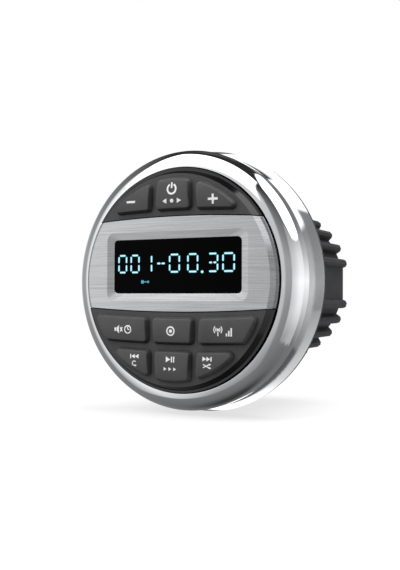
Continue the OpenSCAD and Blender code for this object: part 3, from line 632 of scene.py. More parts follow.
def power_sign(x, z):
    """An open ring with a bar, over two arrow heads and a spot."""
    low = z - 5.0
    heads = [triangle((x + way * 2.6, low), (x + way * 4.6, low), 2.2) for way in (-1, 1)]
    ring = circle_stroke((x, z), 2.05, 0.8, 118, 304)
    return heads + [ring, bar((x, z + 0.3), (x, z + 2.75), 0.72), dot((x, low), 0.85)]


def minus_sign(x, z, half=2.2):
    """A level bar."""
    return [bar((x - half, z), (x + half, z), 0.95)]


def plus_sign(x, z):
    """A level bar and an upright one, which stops on both sides of it."""
    arms = [bar((x, z + way * 0.47), (x, z + way * 2.05), 0.95) for way in (-1, 1)]
    return minus_sign(x, z, 2.3) + arms


print("strokes of the power sign:", len(power_sign(0.0, 0.0)))

# %% Signs of the middle row


def mute_sign(x, z):
    """A loudspeaker with a cross, and a clock face beside it."""
    magnet = bar((x - 4.1, z), (x - 3.2, z), 1.5)
    horn = (np.array([[x - 3.0, z], [x - 1.7, z]]), np.array([1.2, 3.6]), False)
    cross = [bar((x - 1.1, z - rise), (x + 0.1, z + rise), 0.5) for rise in (0.9, -0.9)]
    clock = (x + 2.9, z)
    tips = [(clock[0], z + 1.2), (clock[0] + 0.8, z)]
    hands = [bar(clock, tip, 0.45) for tip in tips]
    return [magnet, horn, *cross, circle_stroke(clock, 1.6, 0.5), *hands]


def select_sign(x, z):
    """A spot in a ring."""
    return [circle_stroke((x, z), 1.75, 0.6), dot((x, z), 0.75)]


def band_sign(x, z):
    """A mast with waves on both sides, and three rising bars beside it."""
    mast, mast_top = x - 2.3, z + 0.8
    waves = [circle_stroke((mast, mast_top), r, 0.42, start, 90) for r in (1.0, 1.9) for start in (-45, 135)]
    tops = [(x + 1.7 + i * 1.1, z - 0.6 + i * 1.1) for i in range(3)]
    steps = [bar((step_x, z - 1.8), (step_x, step_z), 0.7) for step_x, step_z in tops]
    return waves + steps + [bar((mast, z - 1.8), (mast, z + 0.1), 0.5), dot((mast, mast_top), 0.5)]


print("strokes of the mute sign:", len(mute_sign(0.0, 0.0)))

# %% Signs of the bottom row


def skip_sign(x, z, way):
    """Two arrow heads against a bar, pointing left (way -1) or right (way 1)."""
    spans = [(-2.2, -0.4), (-0.3, 1.5)]
    heads = [triangle((x + way * base, z), (x + way * tip, z), 1.9) for base, tip in spans]
    return heads + [bar((x + way * 1.9, z - 0.95), (x + way * 1.9, z + 0.95), 0.5)]


def previous_sign(x, z):
    """Skip to the left, over a ring with an arrow head."""
    low = z - 3.0
    ring = circle_stroke((x, low), 0.95, 0.42, 40, 270)
    return skip_sign(x, z, -1) + [ring, triangle((x + 0.25, low - 0.95), (x + 1.35, low - 0.75), 1.1)]


def next_sign(x, z):
    """Skip to the right, over two crossing bars with an arrow head each."""
    low = z - 2.9
    bars = [bar((x - 1.9, low - rise), (x + 1.0, low + rise), 0.42) for rise in (0.7, -0.7)]
    heads = [triangle((x + 0.9, low + rise), (x + 2.1, low + rise), 1.0) for rise in (0.7, -0.7)]
    return skip_sign(x, z, 1) + bars + heads


def play_sign(x, z):
    """An arrow head and two upright bars, over three small arrow heads."""
    low = z - 4.0
    heads = [triangle((x + i * 2.4 - 0.7, low), (x + i * 2.4 + 0.7, low), 1.5) for i in (-1, 0, 1)]
    pause = [bar((x + i, z - 1.2), (x + i, z + 1.2), 0.55) for i in (0.7, 1.8)]
    return heads + pause + [triangle((x - 2.1, z), (x + 0.1, z), 2.4)]


print("strokes of the next sign:", len(next_sign(0.0, 0.0)))

# %% Place the signs
sign_places = {
    "volume_down": (minus_sign, -20.8, 33.65),
    "power": (power_sign, 0.0, 38.2),
    "volume_up": (plus_sign, 20.0, 33.0),
    "mute": (mute_sign, -25.0, -21.2),
    "select": (select_sign, -0.2, -21.5),
    "band": (band_sign, 25.0, -21.3),
    "previous": (previous_sign, -18.6, -32.6),
    "play": (play_sign, -0.4, -33.4),
    "next": (next_sign, 17.6, -32.6),
}


def on_key(key):
    """Height of a key's top at a place (x, z): its highest line less the crown's drop."""
    drop = crown_drop(key)
    return lambda x, z: key_top_h - drop(z)


for name, (sign, sign_x, sign_z) in sign_places.items():
    on_top = on_key(name + "_key")
    strokes = [stroke(path, width, on_top, closed=closed) for path, width, closed in sign(sign_x, sign_z)]
    add_piece(name + "_mark", strokes, name + "_button", "white_plastic")

# %% [markdown]
# ## The lit digits
# The window is smoked and looks black. Behind it a segment display shows a track and a time.
# The segments could be painted in a texture, but as thin bars that lie on the window they stay
# crisp. Each bar narrows at its ends, as display segments do. An attribute holds how far each
# point lies from the bar's middle line, and the glow uses it: white inside, cyan at the edge.

# %% Segments of a digit
segment_w, segment_gap, segment_tip, halves_gap = 0.9, 0.5, 0.3, 0.3
digit_bottom, digit_top = 3.0, 11.2
digit_low, digit_high = digit_bottom + segment_w / 2, digit_top - segment_w / 2
digit_middle = (digit_low + digit_high) / 2
lit_segments = {"0": "abcdef", "3": "abcdg"}
segment_profile = np.array([0.45, 1.0, 1.0, 0.45])


def segment(start, end):
    """A display bar between two places: full width but for its two ends."""
    start, end = np.asarray(start, float), np.asarray(end, float)
    tip = segment_tip * (end - start) / np.linalg.norm(end - start)
    return np.array([start, start + tip, end - tip, end]), segment_w * segment_profile


def digit_segments(digit, left, right):
    """The bars of a digit: a to f clockwise from the top, and g in two halves across its middle."""
    low, high, middle, gap = digit_low, digit_high, digit_middle, segment_gap
    left, right = left + segment_w / 2, right - segment_w / 2
    half_left, half_right = (left + right) / 2 - halves_gap, (left + right) / 2 + halves_gap
    bars = {
        "a": [((left + gap, high), (right - gap, high))],
        "b": [((right, high - gap), (right, middle + gap))],
        "c": [((right, middle - gap), (right, low + gap))],
        "d": [((left + gap, low), (right - gap, low))],
        "e": [((left, middle - gap), (left, low + gap))],
        "f": [((left, high - gap), (left, middle + gap))],
        "g": [((left + gap, middle), (half_left, middle)), ((half_right, middle), (right - gap, middle))],
    }
    return [segment(*ends) for letter in lit_segments[digit] for ends in bars[letter]]


print("bars of a 3:", len(digit_segments("3", 0.0, 5.0)))

# %% Lit digits
shown_digits = [
    ("0", -29.8, -24.9), ("0", -23.3, -18.3), ("0", -3.4, 2.3),
    ("0", 5.7, 11.3), ("3", 15.5, 20.9), ("0", 22.6, 28.7),
]
one_x, one_short = -12.2, 0.3
dash_left, dash_right, dash_gap = -9.3, -5.4, 0.25
point_place, point_r = (13.1, 3.3), 0.65
digit_lift = 0.03


def on_window(x, z):
    """Height of the window's front, which is the same all over."""
    return np.full_like(x, lens_front_h)


def add_glow(name, marks):
    """Flat strokes on the window, with the attribute 0 on each middle line and 1 at its edges."""
    strokes = [stroke(path, width, on_window, digit_lift) for path, width in marks]
    across = np.tile(np.abs(stroke_across), sum(len(path) for path, _ in marks))
    return add_piece(name, strokes, "housing", "display_glass", across=across)


dash_half = (dash_left + dash_right) / 2
lit = [bars for digit in shown_digits for bars in digit_segments(*digit)]
lit += [
    segment((one_x, digit_high - one_short), (one_x, digit_middle + segment_gap)),
    segment((one_x, digit_middle - segment_gap), (one_x, digit_low + one_short)),
    segment((dash_left, digit_middle), (dash_half - dash_gap, digit_middle)),
    segment((dash_half + dash_gap, digit_middle), (dash_right, digit_middle)),
    dot(point_place, point_r)[:2],
]
digits = add_glow("lit_digits", lit)

# %% Source sign
source_x, source_z = -15.5, -0.7
plug_bars = [(-2.0, -0.7, 1.5), (-0.4, 0.8, 0.5), (1.1, 2.0, 1.0)]
source_bars = [
    bar((source_x + start, source_z), (source_x + end, source_z), width) for start, end, width in plug_bars
]
source_mark = add_glow("source_mark", [mark[:2] for mark in source_bars])

# %% [markdown]
# ## Threaded studs
# Two studs at the back hold the clamp that pulls the ring against the panel. The solid model has
# plain rods. A thread is a radius that falls and rises along the rod and turns with it: a
# triangle wave of the height less the turn. One grid over turn and height gives the whole stud.

# %% Studs with a thread
stud_low_h = heights("mounting_studs")[0]
stud_x, stud_r, stud_end = 24.0, 2.5, 0.8
thread_depth, thread_pitch, thread_stop = 0.42, 0.8, 0.3
neck_r, head_r, head_t = 2.9, 4.5, 3.0


def stud_skin(place_x, steps=48, levels=240):
    """Radius over (height, turn): the rod's less a triangle wave of height / pitch - turn, with a
    chamfer at the end, then the plain neck and the six-sided head inside the cover."""
    turn = np.linspace(0, 2 * np.pi, steps, endpoint=False)[None, :]
    height = np.linspace(stud_low_h, cover_rear_h, levels)[:, None]
    wave = np.abs(((height / thread_pitch - turn / (2 * np.pi)) % 1.0) * 2 - 1)
    fade = np.clip((cover_rear_h - height) / thread_pitch - thread_stop, 0, 1)
    thread = stud_r - thread_depth * wave * fade
    thread = np.minimum(thread, stud_r - stud_end + (height - stud_low_h))
    hexagon = head_r * np.cos(np.pi / 6) / np.cos((turn + np.pi / 6) % (np.pi / 3) - np.pi / 6)
    plain = np.ones_like(turn)
    radius = np.concatenate([0 * plain, thread, neck_r * plain, neck_r * plain, hexagon, hexagon, 0 * plain])
    head_h = cover_front_h + head_t
    inside = [cover_rear_h, cover_front_h, cover_front_h, head_h, head_h]
    level = np.concatenate([[stud_low_h], height[:, 0], inside])[:, None]
    points = from_front(place_x + radius * np.cos(turn), radius * np.sin(turn), level)
    return points, grid_quads(len(level), turn.size, False, True)


stud_pair = [stud_skin(-stud_x), stud_skin(stud_x)]
add_piece("threaded_studs", stud_pair, "housing", "screw_steel", ["mounting_studs"], crease=25.0)

# %% [markdown]
# ## Building a finish
# A flat colour never looks like a material. Each finish below varies its colour, roughness and
# relief with noise on object coordinates, sized in millimetres, so that it keeps its scale and
# place on every piece. A few small helpers keep the node trees short.

# %% Colours, shaders and nodes


def screen(colour):
    """Linear value of a hex colour as a screen shows it: a dark channel c is c / 12.92, and any other
    is (c + 0.055) / 1.055 to the power of 2.4."""
    channel = np.array([int(colour[i:i + 2], 16) for i in (1, 3, 5)]) / 255
    linear = np.where(channel < 0.04, channel / 12.92, ((channel + 0.055) / 1.055) ** 2.4)
    return [*linear.tolist(), 1.0]


def new_finish(name, colour, roughness, metallic=0.0, specular=0.5):
    """A material with one shader, whose even values are set on the shader itself."""
    material = bpy.data.materials.new(name)
    material.use_nodes = True
    shader = material.node_tree.nodes["Principled BSDF"]
    shader.inputs["Base Color"].default_value = screen(colour)
    shader.inputs["Roughness"].default_value = roughness
    shader.inputs["Metallic"].default_value = metallic
    shader.inputs["Specular IOR Level"].default_value = specular
    return material, shader


def link(owner, socket, node, name):
    """Joins a socket to a node's input, by the input's name or number."""
    owner.node_tree.links.new(socket, node.inputs[name])


def feed(owner, socket, value):
    """Gives an input a plain value, or joins another node's socket to it."""
    if isinstance(value, bpy.types.NodeSocket):
        owner.node_tree.links.new(value, socket)
    else:
        socket.default_value = value


def add_node(owner, kind, **inputs):
    """Adds a node to a material or world; each input is a plain value or another node's socket."""
    made = owner.node_tree.nodes.new(kind)
    for name, value in inputs.items():
        feed(owner, made.inputs[name.replace("_", " ")], value)
    return made


print("mid grey on a screen is", round(screen("#808080")[0], 3), "of white's light")

# %% Grain, colour and relief
noise_low, noise_high = 0.3, 0.7


def object_place(owner):
    """Where a point lies in its object's own coordinates, in metres."""
    return add_node(owner, "ShaderNodeTexCoord").outputs["Object"]


def grain(material, size, detail=3.0):
    """Noise on object coordinates, with lumps of the given size (x, y, z) in millimetres."""
    place = object_place(material)
    scale = [1 / (length * MM) for length in size]
    mapped = add_node(material, "ShaderNodeMapping", Vector=place, Scale=scale).outputs["Vector"]
    return add_node(material, "ShaderNodeTexNoise", Vector=mapped, Scale=1.0, Detail=detail).outputs["Fac"]


def spread(material, noise, low, high):
    """Carries noise, which mostly lies between 0.3 and 0.7, to the span from low to high."""
    spans = {"From_Min": noise_low, "From_Max": noise_high, "To_Min": low, "To_Max": high}
    return add_node(material, "ShaderNodeMapRange", Value=noise, **spans).outputs["Result"]


def tint(material, noise, dark, light):
    """A colour between two, by noise."""
    ramp = add_node(material, "ShaderNodeValToRGB", Fac=noise)
    for stop, position, colour in zip(ramp.color_ramp.elements, (noise_low, noise_high), (dark, light)):
        stop.position = position
        stop.color = screen(colour)
    return ramp.outputs["Color"]


def emboss(material, shader, noise, depth):
    """Relief from noise, with its depth in millimetres."""
    bump = add_node(material, "ShaderNodeBump", Height=noise, Distance=depth * MM, Strength=1.0)
    link(material, bump.outputs["Normal"], shader, "Normal")


print("noise is taken to lie between", noise_low, "and", noise_high)

# %% Masks and mixes
mask_soft = 0.05


def length_of(owner, vector):
    """Length of a vector."""
    away = add_node(owner, "ShaderNodeVectorMath", Vector=vector)
    away.operation = "LENGTH"
    return away.outputs["Value"]


def beyond_radius(material, radius):
    """A mask that is 0 inside a radius from the axis, in millimetres, and 1 outside it. The radius is
    the length of the place with its depth y left out."""
    flat = add_node(material, "ShaderNodeMapping", Vector=object_place(material), Scale=[1.0, 0.0, 1.0])
    edges = {"From_Min": (radius - mask_soft) * MM, "From_Max": (radius + mask_soft) * MM}
    away = length_of(material, flat.outputs["Vector"])
    return add_node(material, "ShaderNodeMapRange", Value=away, **edges).outputs["Result"]


def mix_by(material, share, first, second, kind="FLOAT"):
    """The first value where the share is 0 and the second where it is 1, as numbers or colours."""
    mix = add_node(material, "ShaderNodeMix")
    mix.data_type = kind
    a, b = [socket for socket in mix.inputs if socket.enabled and socket.name in ("A", "B")]
    link(material, share, mix, 0)
    feed(material, a, first)
    feed(material, b, second)
    return [socket for socket in mix.outputs if socket.enabled][0]


print("masks are soft over", 2 * mask_soft, "mm")

# %% [markdown]
# ## Chrome, satin chrome and brushed metal
# Plated chrome is a mirror, a little dark and cool, and never quite even: faint smudges change
# its roughness. The skirt's plate is darker, and its polish leaves a fine tooth. The band is
# brushed: scratches a hundredth of a millimetre deep run along X, so its noise is long in X and
# very short in Z. A picture of scratches would repeat itself, and noise doesn't. The band's bent
# ends get a darker colour, which is painted shade for where they turn away from the light.

# %% Metal of the face


def chrome_finish():
    """Mirror plate with smudges a few centimetres wide."""
    material, shader = new_finish("bright_chrome", "#e6e7e9", 0.03, metallic=1.0)
    smudge = grain(material, (22, 22, 22))
    link(material, spread(material, smudge, 0.02, 0.06), shader, "Roughness")
    link(material, tint(material, smudge, "#e0e1e4", "#e9eaec"), shader, "Base Color")
    return material


def satin_finish():
    """Darker plate whose polish leaves a fine tooth."""
    material, shader = new_finish("satin_chrome", "#adaeb0", 0.04, metallic=1.0)
    tooth = grain(material, (0.25, 0.25, 0.25))
    link(material, spread(material, tooth, 0.03, 0.05), shader, "Roughness")
    link(material, tint(material, grain(material, (14, 14, 14)), "#a6a7a9", "#b3b4b6"), shader, "Base Color")
    emboss(material, shader, tooth, 0.002)
    return material


def brushed_finish():
    """Brushed sheet: long scratches in two widths change colour, roughness and relief, and a darker
    colour, painted shade, takes over where the ends bend down."""
    material, shader = new_finish("brushed_silver", "#adaeaf", 0.26, metallic=1.0)
    wide = grain(material, (26, 4, 0.42), detail=4.0)
    fine = grain(material, (9, 2, 0.09), detail=2.0)
    flat = tint(material, wide, "#a0a1a3", "#b9babb")
    # The darker colour on the bent ends is painted shade, not a colour of the metal.
    painted_bent_shade = tint(material, wide, "#7c7d7f", "#8f9092")
    colour = mix_by(material, beyond_radius(material, plateau_r), flat, painted_bent_shade, "RGBA")
    link(material, colour, shader, "Base Color")
    link(material, spread(material, fine, 0.2, 0.32), shader, "Roughness")
    emboss(material, shader, fine, 0.01)
    return material


finishes = {
    "bright_chrome": chrome_finish(),
    "satin_chrome": satin_finish(),
    "brushed_silver": brushed_finish(),
}
print("metal of the face:", *finishes)

# %% [markdown]
# ## The rubber mats
# The two mats round the keys are matt rubber with a fine tooth. Outside the flat they bend down in
# a chamfer that is smooth and nearly black. One mask by the radius changes colour, gloss and relief
# together, which is simpler than cutting the mesh in two.

# %% Rubber mats
patch_size = (7, 7, 7)


def mat_finish():
    """Matt rubber on the flat, and a smooth black chamfer outside it."""
    material, shader = new_finish("mat_rubber", "#363637", 0.6)
    fine = grain(material, (0.35, 0.35, 0.35))
    rim = beyond_radius(material, plateau_r)
    flat_colour = tint(material, grain(material, patch_size), "#333334", "#39393a")
    link(material, mix_by(material, rim, flat_colour, screen("#0c0c0d"), "RGBA"), shader, "Base Color")
    link(material, mix_by(material, rim, spread(material, fine, 0.55, 0.7), 0.12), shader, "Roughness")
    emboss(material, shader, mix_by(material, rim, fine, 0.5), 0.012)
    return material


finishes["mat_rubber"] = mat_finish()
print("nodes in the mat's finish:", len(finishes["mat_rubber"].node_tree.nodes))

# %% [markdown]
# ## Rubber, plastic and plain metal
# The other pieces share three kinds of finish, which differ in colour, gloss and grain. Moulded
# rubber and plastic copy the fine texture of their mould, and plain metal has a rolled or turned
# surface. So one function makes them all from a short list of values: the darker and the lighter
# colour, the span of the roughness, the size of the grain and its depth, and for two of them how
# strongly they mirror.

# %% Moulded and plain finishes


def plain_finish(name, dark, light, gloss, tooth, depth, specular=0.5, metallic=0.0):
    """Colour between dark and light in patches, roughness within the gloss span, relief by the tooth."""
    material, shader = new_finish(name, light, gloss[0], metallic, specular)
    fine = grain(material, (tooth, tooth, tooth))
    link(material, tint(material, grain(material, patch_size), dark, light), shader, "Base Color")
    link(material, spread(material, fine, *gloss), shader, "Roughness")
    emboss(material, shader, fine, depth)
    return material


plain_values = {
    "key_rubber": ("#3b3b3c", "#414142", (0.36, 0.5), 0.3, 0.01, 0.42),
    "seal_rubber": ("#181818", "#1f1f1f", (0.6, 0.75), 0.4, 0.01),
    "membrane_film": ("#363739", "#3c3d40", (0.45, 0.6), 0.5, 0.005),
    "carbon_rubber": ("#1c1c1d", "#232324", (0.55, 0.7), 0.3, 0.005),
    "case_plastic": ("#28282a", "#2e2e30", (0.45, 0.6), 0.4, 0.012),
    "housing_black": ("#2d2d2f", "#333335", (0.5, 0.65), 0.45, 0.016, 0.06),
    "cover_plastic": ("#2c2c2e", "#333336", (0.45, 0.6), 0.4, 0.014),
    "chip_package": ("#1a1a1b", "#202021", (0.5, 0.62), 0.3, 0.006),
    "socket_plastic": ("#cbc4ae", "#d6cfba", (0.35, 0.5), 0.5, 0.004),
    "white_plastic": ("#ececea", "#f6f6f4", (0.3, 0.42), 0.4, 0.002),
    "red_plastic": ("#a3191b", "#b22022", (0.28, 0.4), 0.4, 0.002),
    "light_guide": ("#dcdcd4", "#e8e8e2", (0.25, 0.35), 0.5, 0.002),
    "capacitor_sleeve": ("#1f3a6c", "#274679", (0.25, 0.38), 0.5, 0.003),
    "ribbon_film": ("#a8abb2", "#b6b9c0", (0.35, 0.5), 0.4, 0.003),
    "circuit_board": ("#1d5a32", "#26683b", (0.25, 0.4), 0.6, 0.006),
}
plain_metals = {
    "screw_steel": ("#c2c3c5", "#cfd0d2", (0.2, 0.36), 0.3, 0.003),
    "socket_metal": ("#cbc2ac", "#d8d0bc", (0.18, 0.32), 0.3, 0.002),
    "plain_aluminium": ("#c0c2c4", "#cccecf", (0.32, 0.46), 0.35, 0.004),
    "tinned_can": ("#c6c8ca", "#d2d4d5", (0.28, 0.42), 0.5, 0.004),
    "gold_contact": ("#d8bd76", "#e6cd8a", (0.15, 0.28), 0.4, 0.002),
    "choke_copper": ("#b0683a", "#c27a48", (0.2, 0.34), 0.3, 0.004),
}
for name, values in plain_values.items():
    finishes[name] = plain_finish(name, *values)
for name, values in plain_metals.items():
    finishes[name] = plain_finish(name, *values, metallic=1.0)
print(len(plain_values), "moulded finishes and", len(plain_metals), "plain metals")

# %% [markdown]
# ## Window and glow
# The window is smoked plastic with a hard gloss: nearly black, with a clear but weak mirror on
# top. It could be see-through, but plastic this dark shows only what is lit behind it. So it is
# opaque, and the lit bars lie on it and shine by themselves. Their strength stays near one, so
# that they show their own colour and don't light the face.

# %% Window, display and digits


def window_finish():
    """Nearly black gloss with the faintest wipe marks."""
    material, shader = new_finish("window_lens", "#020203", 0.05, specular=0.02)
    link(material, spread(material, grain(material, (16, 16, 7)), 0.03, 0.09), shader, "Roughness")
    return material


def glow_finish(edge, core, strength):
    """Light that is nearly white on a stroke's middle line and coloured at its edge."""
    material, shader = new_finish("display_glass", "#0a2024", 0.2)
    shader.inputs["Emission Strength"].default_value = strength
    across = add_node(material, "ShaderNodeAttribute")
    across.attribute_name = "across"
    link(material, tint(material, across.outputs["Fac"], core, edge), shader, "Emission Color")
    return material


panel_values = ("#0d1416", "#131d20", (0.06, 0.12), 0.6, 0.001)
finishes["window_lens"] = window_finish()
finishes["display_glass"] = plain_finish("display_panel_glass", *panel_values)
digit_glow = glow_finish("#46cfe6", "#e4fdff", 1.0)
source_glow = glow_finish("#2f8fa6", "#58b4c6", 0.9)
print(len(finishes), "finishes and two glows")

# %% [markdown]
# ## Every piece gets its finish
# The record says which slot each CAD node belongs to, and the new pieces carry their own. Nodes
# that a new piece stands for are hidden, but they get their finish too, so nothing stays bare.

# %% Assign the finishes


def put_on(piece, material):
    """Gives a piece one material."""
    piece.data.materials.clear()
    piece.data.materials.append(material)


for subpart in frame["record"]["subparts"]:
    put_on(frame["nodes"][subpart["node"]], finishes[subpart["material_slot"]])
for piece in bpy.data.objects:
    if "finish" in piece:
        put_on(piece, finishes[piece["finish"]])
put_on(digits, digit_glow)
put_on(source_mark, source_glow)
print("finishes put on", len(frame["nodes"]), "nodes and the new pieces")

# %% [markdown]
# ## The floor
# A pale floor takes the soft shadow. It could be one large square, but its edge would show as a
# horizon. So it is a wide disc that far from the object shines as white as the backdrop. Near the
# object a part of it shines too, which keeps the shadow faint. Metal doesn't mirror the floor, and
# no light comes back from it, so it changes nothing on the object.

# %% Floor
floor_gap, floor_reach, floor_light = 0.3, 4000.0, 0.7
floor_z = node_span("bezel_skirt", 2)[0] - floor_gap
shine_near, shine_far = 200.0, 600.0
plain_white = [1.0, 1.0, 1.0, 1.0]


def combine(owner, operation, first, second):
    """Two numbers made into one, such as their product or the larger of them."""
    made = add_node(owner, "ShaderNodeMath")
    made.operation = operation
    link(owner, first, made, 0)
    link(owner, second, made, 1)
    return made.outputs[0]


def clear_rays(owner):
    """1 for rays from the camera and those that metal or glass sends on, and 0 for all others."""
    path = add_node(owner, "ShaderNodeLightPath")
    share = path.outputs["Is Camera Ray"]
    for kind in ("Is Glossy Ray", "Is Transmission Ray"):
        share = combine(owner, "MAXIMUM", share, path.outputs[kind])
    return share


def floor_finish():
    """Pale and matt near the object, with a share of its own light so that the shadow stays faint, and
    by distance a plain white that needs no lamp."""
    material, shader = new_finish("pale_floor", "#e9e9e9", 0.6, specular=0.2)
    away = length_of(material, object_place(material))
    spans = {"From_Min": shine_near * MM, "From_Max": shine_far * MM, "To_Min": floor_light}
    far = add_node(material, "ShaderNodeMapRange", Value=away, **spans).outputs["Result"]
    share = combine(material, "MULTIPLY", far, clear_rays(material))
    white = add_node(material, "ShaderNodeEmission", Color=plain_white, Strength=1.0)
    mix = add_node(material, "ShaderNodeMixShader", Fac=share)
    link(material, shader.outputs["BSDF"], mix, 1)
    link(material, white.outputs["Emission"], mix, 2)
    link(material, mix.outputs["Shader"], material.node_tree.nodes["Material Output"], "Surface")
    return material


def floor_grid(rings=24, steps=64):
    """A round floor: point (r cos t, r sin t) on rings whose radius grows with the square."""
    turn = np.linspace(0, 2 * np.pi, steps, endpoint=False)[None, :]
    radius = floor_reach * np.linspace(0, 1, rings)[:, None] ** 2
    points = np.stack(np.broadcast_arrays(radius * np.cos(turn), radius * np.sin(turn), floor_z), axis=-1)
    return points.reshape(-1, 3) * MM, grid_quads(rings, steps, False, True)


def add_stage(name, mesh, material):
    """A piece of the studio, which is no part of the object."""
    piece = add_object(name, mesh)
    put_on(piece, material)
    return piece


floor = add_stage("floor", make_mesh("floor", *floor_grid()), floor_finish())
floor.visible_glossy = False
floor.visible_diffuse = False
print("floor at", round(floor_z, 2), "mm")

# %% [markdown]
# ## What the metal mirrors
# A chrome ring is only as good as what it mirrors, while rubber needs only soft light. So the two
# are kept apart. This step makes a dome that only mirrors see, as a photographer hangs white and
# black cards round a shiny object. Each card is a formula of the direction: where it lies, and how
# bright it is there. Cards are laid over a dim room one by one, and a few round numbers for each
# were chosen to suit the ring, the skirt and the band.

# %% Directions and soft edges


def smooth_step(value, low, high):
    """Rises smoothly from 0 at low to 1 at high: s s (3 - 2 s) of the share s between them."""
    share = np.clip((value - low) / (high - low), 0, 1)
    return share * share * (3 - 2 * share)


def between(value, low, high, soft=1.5):
    """1 between low and high and 0 outside, with edges that are soft by that much to both sides."""
    return smooth_step(value, low - soft, low + soft) * (1 - smooth_step(value, high - soft, high + soft))


def lay_card(level, share, brightness):
    """The level with a card laid over it where the share is 1."""
    return level + share * (brightness - level)


def direction(azimuth, elevation):
    """Unit vector at an azimuth from the front (-Y) towards +X and an elevation, in degrees."""
    azimuth, elevation = np.radians(azimuth), np.radians(elevation)
    flat = np.cos(elevation)
    parts = np.broadcast_arrays(flat * np.sin(azimuth), -flat * np.cos(azimuth), np.sin(elevation))
    return np.stack(parts, axis=-1)


def box_share(towards, azimuth, elevation, across, along, soft=0.02):
    """1 on a flat box at 1 m that faces the middle, and 0 round it. The place on it is the direction's
    part along the box's right and up sides, over its part towards the box."""
    middle, side = direction(azimuth, elevation), direction(azimuth + 90, 0)
    ahead = np.maximum(towards @ middle, 0.01)
    place_across, place_along = towards @ side / ahead, towards @ np.cross(middle, side) / ahead
    return between(place_across, *across, soft) * between(place_along, *along, soft)


print("a quarter of the way up a soft edge it is", smooth_step(0.25, 0.0, 1.0))

# %% Cards round the object


def room_level(elevation):
    """The dim room: brightest at eye level, and straight lines between the levels given."""
    places = [-80, -60, -30, -12, 0, 8, 20, 33, 53]
    return np.interp(elevation, places, [0.05, 0.17, 0.25, 0.31, 0.42, 0.42, 0.28, 0.18, 0.03])


def left_cards(level, azimuth, elevation):
    """Two small pale cards to the left and behind, and a tall dark one over them."""
    level = lay_card(level, between(azimuth, -140, -106, 5) * between(elevation, -5, 13, 4), 0.6)
    level = lay_card(level, between(azimuth, -146, -126, 3) * between(elevation, -24, -6, 4), 0.7)
    places = [14, 27, 36, 42, 52, 66, 76]
    tall = np.interp(elevation, places, [0.17, 0.07, 0.02, 0.02, 0.05, 0.12, 0.05])
    return lay_card(level, between(azimuth, -170, -122, 6) * between(elevation, 14, 80, 4), tall)


def front_card(level, azimuth, elevation):
    """A wide card in front: a profile over the azimuth times one over the elevation."""
    across = np.interp(azimuth, [-71, -58, -42, -22, -8], [0.7, 1.1, 1.5, 0.76, 0.66])
    along = np.interp(elevation, [-36, -20, 0, 14, 28], [0.5, 0.7, 1.04, 1.04, 1.08])
    return lay_card(level, between(azimuth, -71, 7, 4) * between(elevation, -36, 40), across * along)


def right_card(level, azimuth, elevation):
    """A long card to the right, made as the front one is, whose lower edge dips in its middle."""
    across = np.interp(azimuth, [33, 36, 54, 80], [0.5, 0.8, 0.97, 1.25])
    along = np.interp(elevation, [-44, -32, -16, 0, 18, 27], [0.42, 0.46, 0.82, 1.0, 0.7, 0.5])
    low_edge = np.interp(azimuth, [36, 50, 90, 140], [-32, -37, -43, -36])
    return lay_card(level, between(azimuth, 33, 146) * between(elevation, low_edge, 30), across * along)


print("the room is", room_level(0.0), "bright at eye level and", room_level(90.0), "overhead")

# %% Cards above and behind
window_light = 2.6
rear_aside = 5.0


def high_cards(level, towards, azimuth, elevation):
    """A bright box over the front left, and a bright window high to the right. The window's lower and
    front edges follow lines over the angles, and its left edge is a slanting plane near the middle."""
    level = lay_card(level, box_share(towards, -30.3, 53.5, (-0.55, 0.5), (-0.45, 0.4)), window_light)
    low_edge = np.interp(azimuth, [46, 60, 125, 150], [33, 27, 27, 33])
    front_edge = np.interp(elevation, [27, 62], [48, 30])
    window = smooth_step(elevation, low_edge - 1.5, low_edge + 1.5) * between(azimuth, front_edge, 177)
    x, y, z = np.moveaxis(towards, -1, 0)
    return lay_card(level, window * smooth_step(x - 0.21 * z + 0.17 * y, 0.025, 0.065), window_light)


def rear_cards(level, towards, elevation):
    """The cards behind the object, by the swing from a point near the axis and the turn round it, in
    degrees. The ring's edge mirrors the two inner cards, and the skirt mirrors the belt about them."""
    x, y, z = np.moveaxis(towards, -1, 0)
    away = np.degrees(np.arccos(np.clip(y, -1, 1))) / np.maximum(np.hypot(x, z), 1e-6)
    aside, above = away * x - rear_aside, away * z
    swing, turn = np.hypot(aside, above), np.degrees(np.arctan2(above, aside))
    shade = np.interp(turn, [118, 135, 150, 165], [0.2, 0.4, 0.4, 0.2])
    level = lay_card(level, 1 - smooth_step(swing, 33, 36), shade)
    edge = np.interp(elevation, [-20, -10, 1, 10, 20], [0.22, 0.7, 1.15, 0.6, 0.22])
    level = lay_card(level, 1 - smooth_step(swing, 20, 23), edge)
    turns = [-150, -141, -109, -86, -24, -22, 0, 48, 59, 61, 134, 142]
    belt = np.interp(turn, turns, [0.17, 2.4, 2.4, 1.4, 0.82, 0.62, 0.74, 0.48, 0.48, 2.4, 2.4, 0.17])
    return lay_card(level, between(swing, 38, 45.2, 0.6), belt)


def studio_glow(azimuth, elevation):
    """How bright the dome is in a direction: a dim room, with cards laid over it one by one."""
    towards = direction(azimuth, elevation)
    level = room_level(elevation)
    for lay_cards in (left_cards, front_card, right_card):
        level = lay_cards(level, azimuth, elevation)
    return rear_cards(high_cards(level, towards, azimuth, elevation), towards, elevation)


print("straight ahead the studio is", np.round(studio_glow(0.0, 0.0), 2), "bright")

# %% Studio dome
dome_r = 1600.0


def glow_paint():
    """Light as strong as the attribute says."""
    material = bpy.data.materials.new("studio_paint")
    material.use_nodes = True
    material.node_tree.nodes.clear()
    strength = add_node(material, "ShaderNodeAttribute")
    strength.attribute_name = "glow"
    shine = add_node(material, "ShaderNodeEmission", Strength=strength.outputs["Fac"])
    output = add_node(material, "ShaderNodeOutputMaterial", Surface=shine.outputs["Emission"])
    output.is_active_output = True
    return material


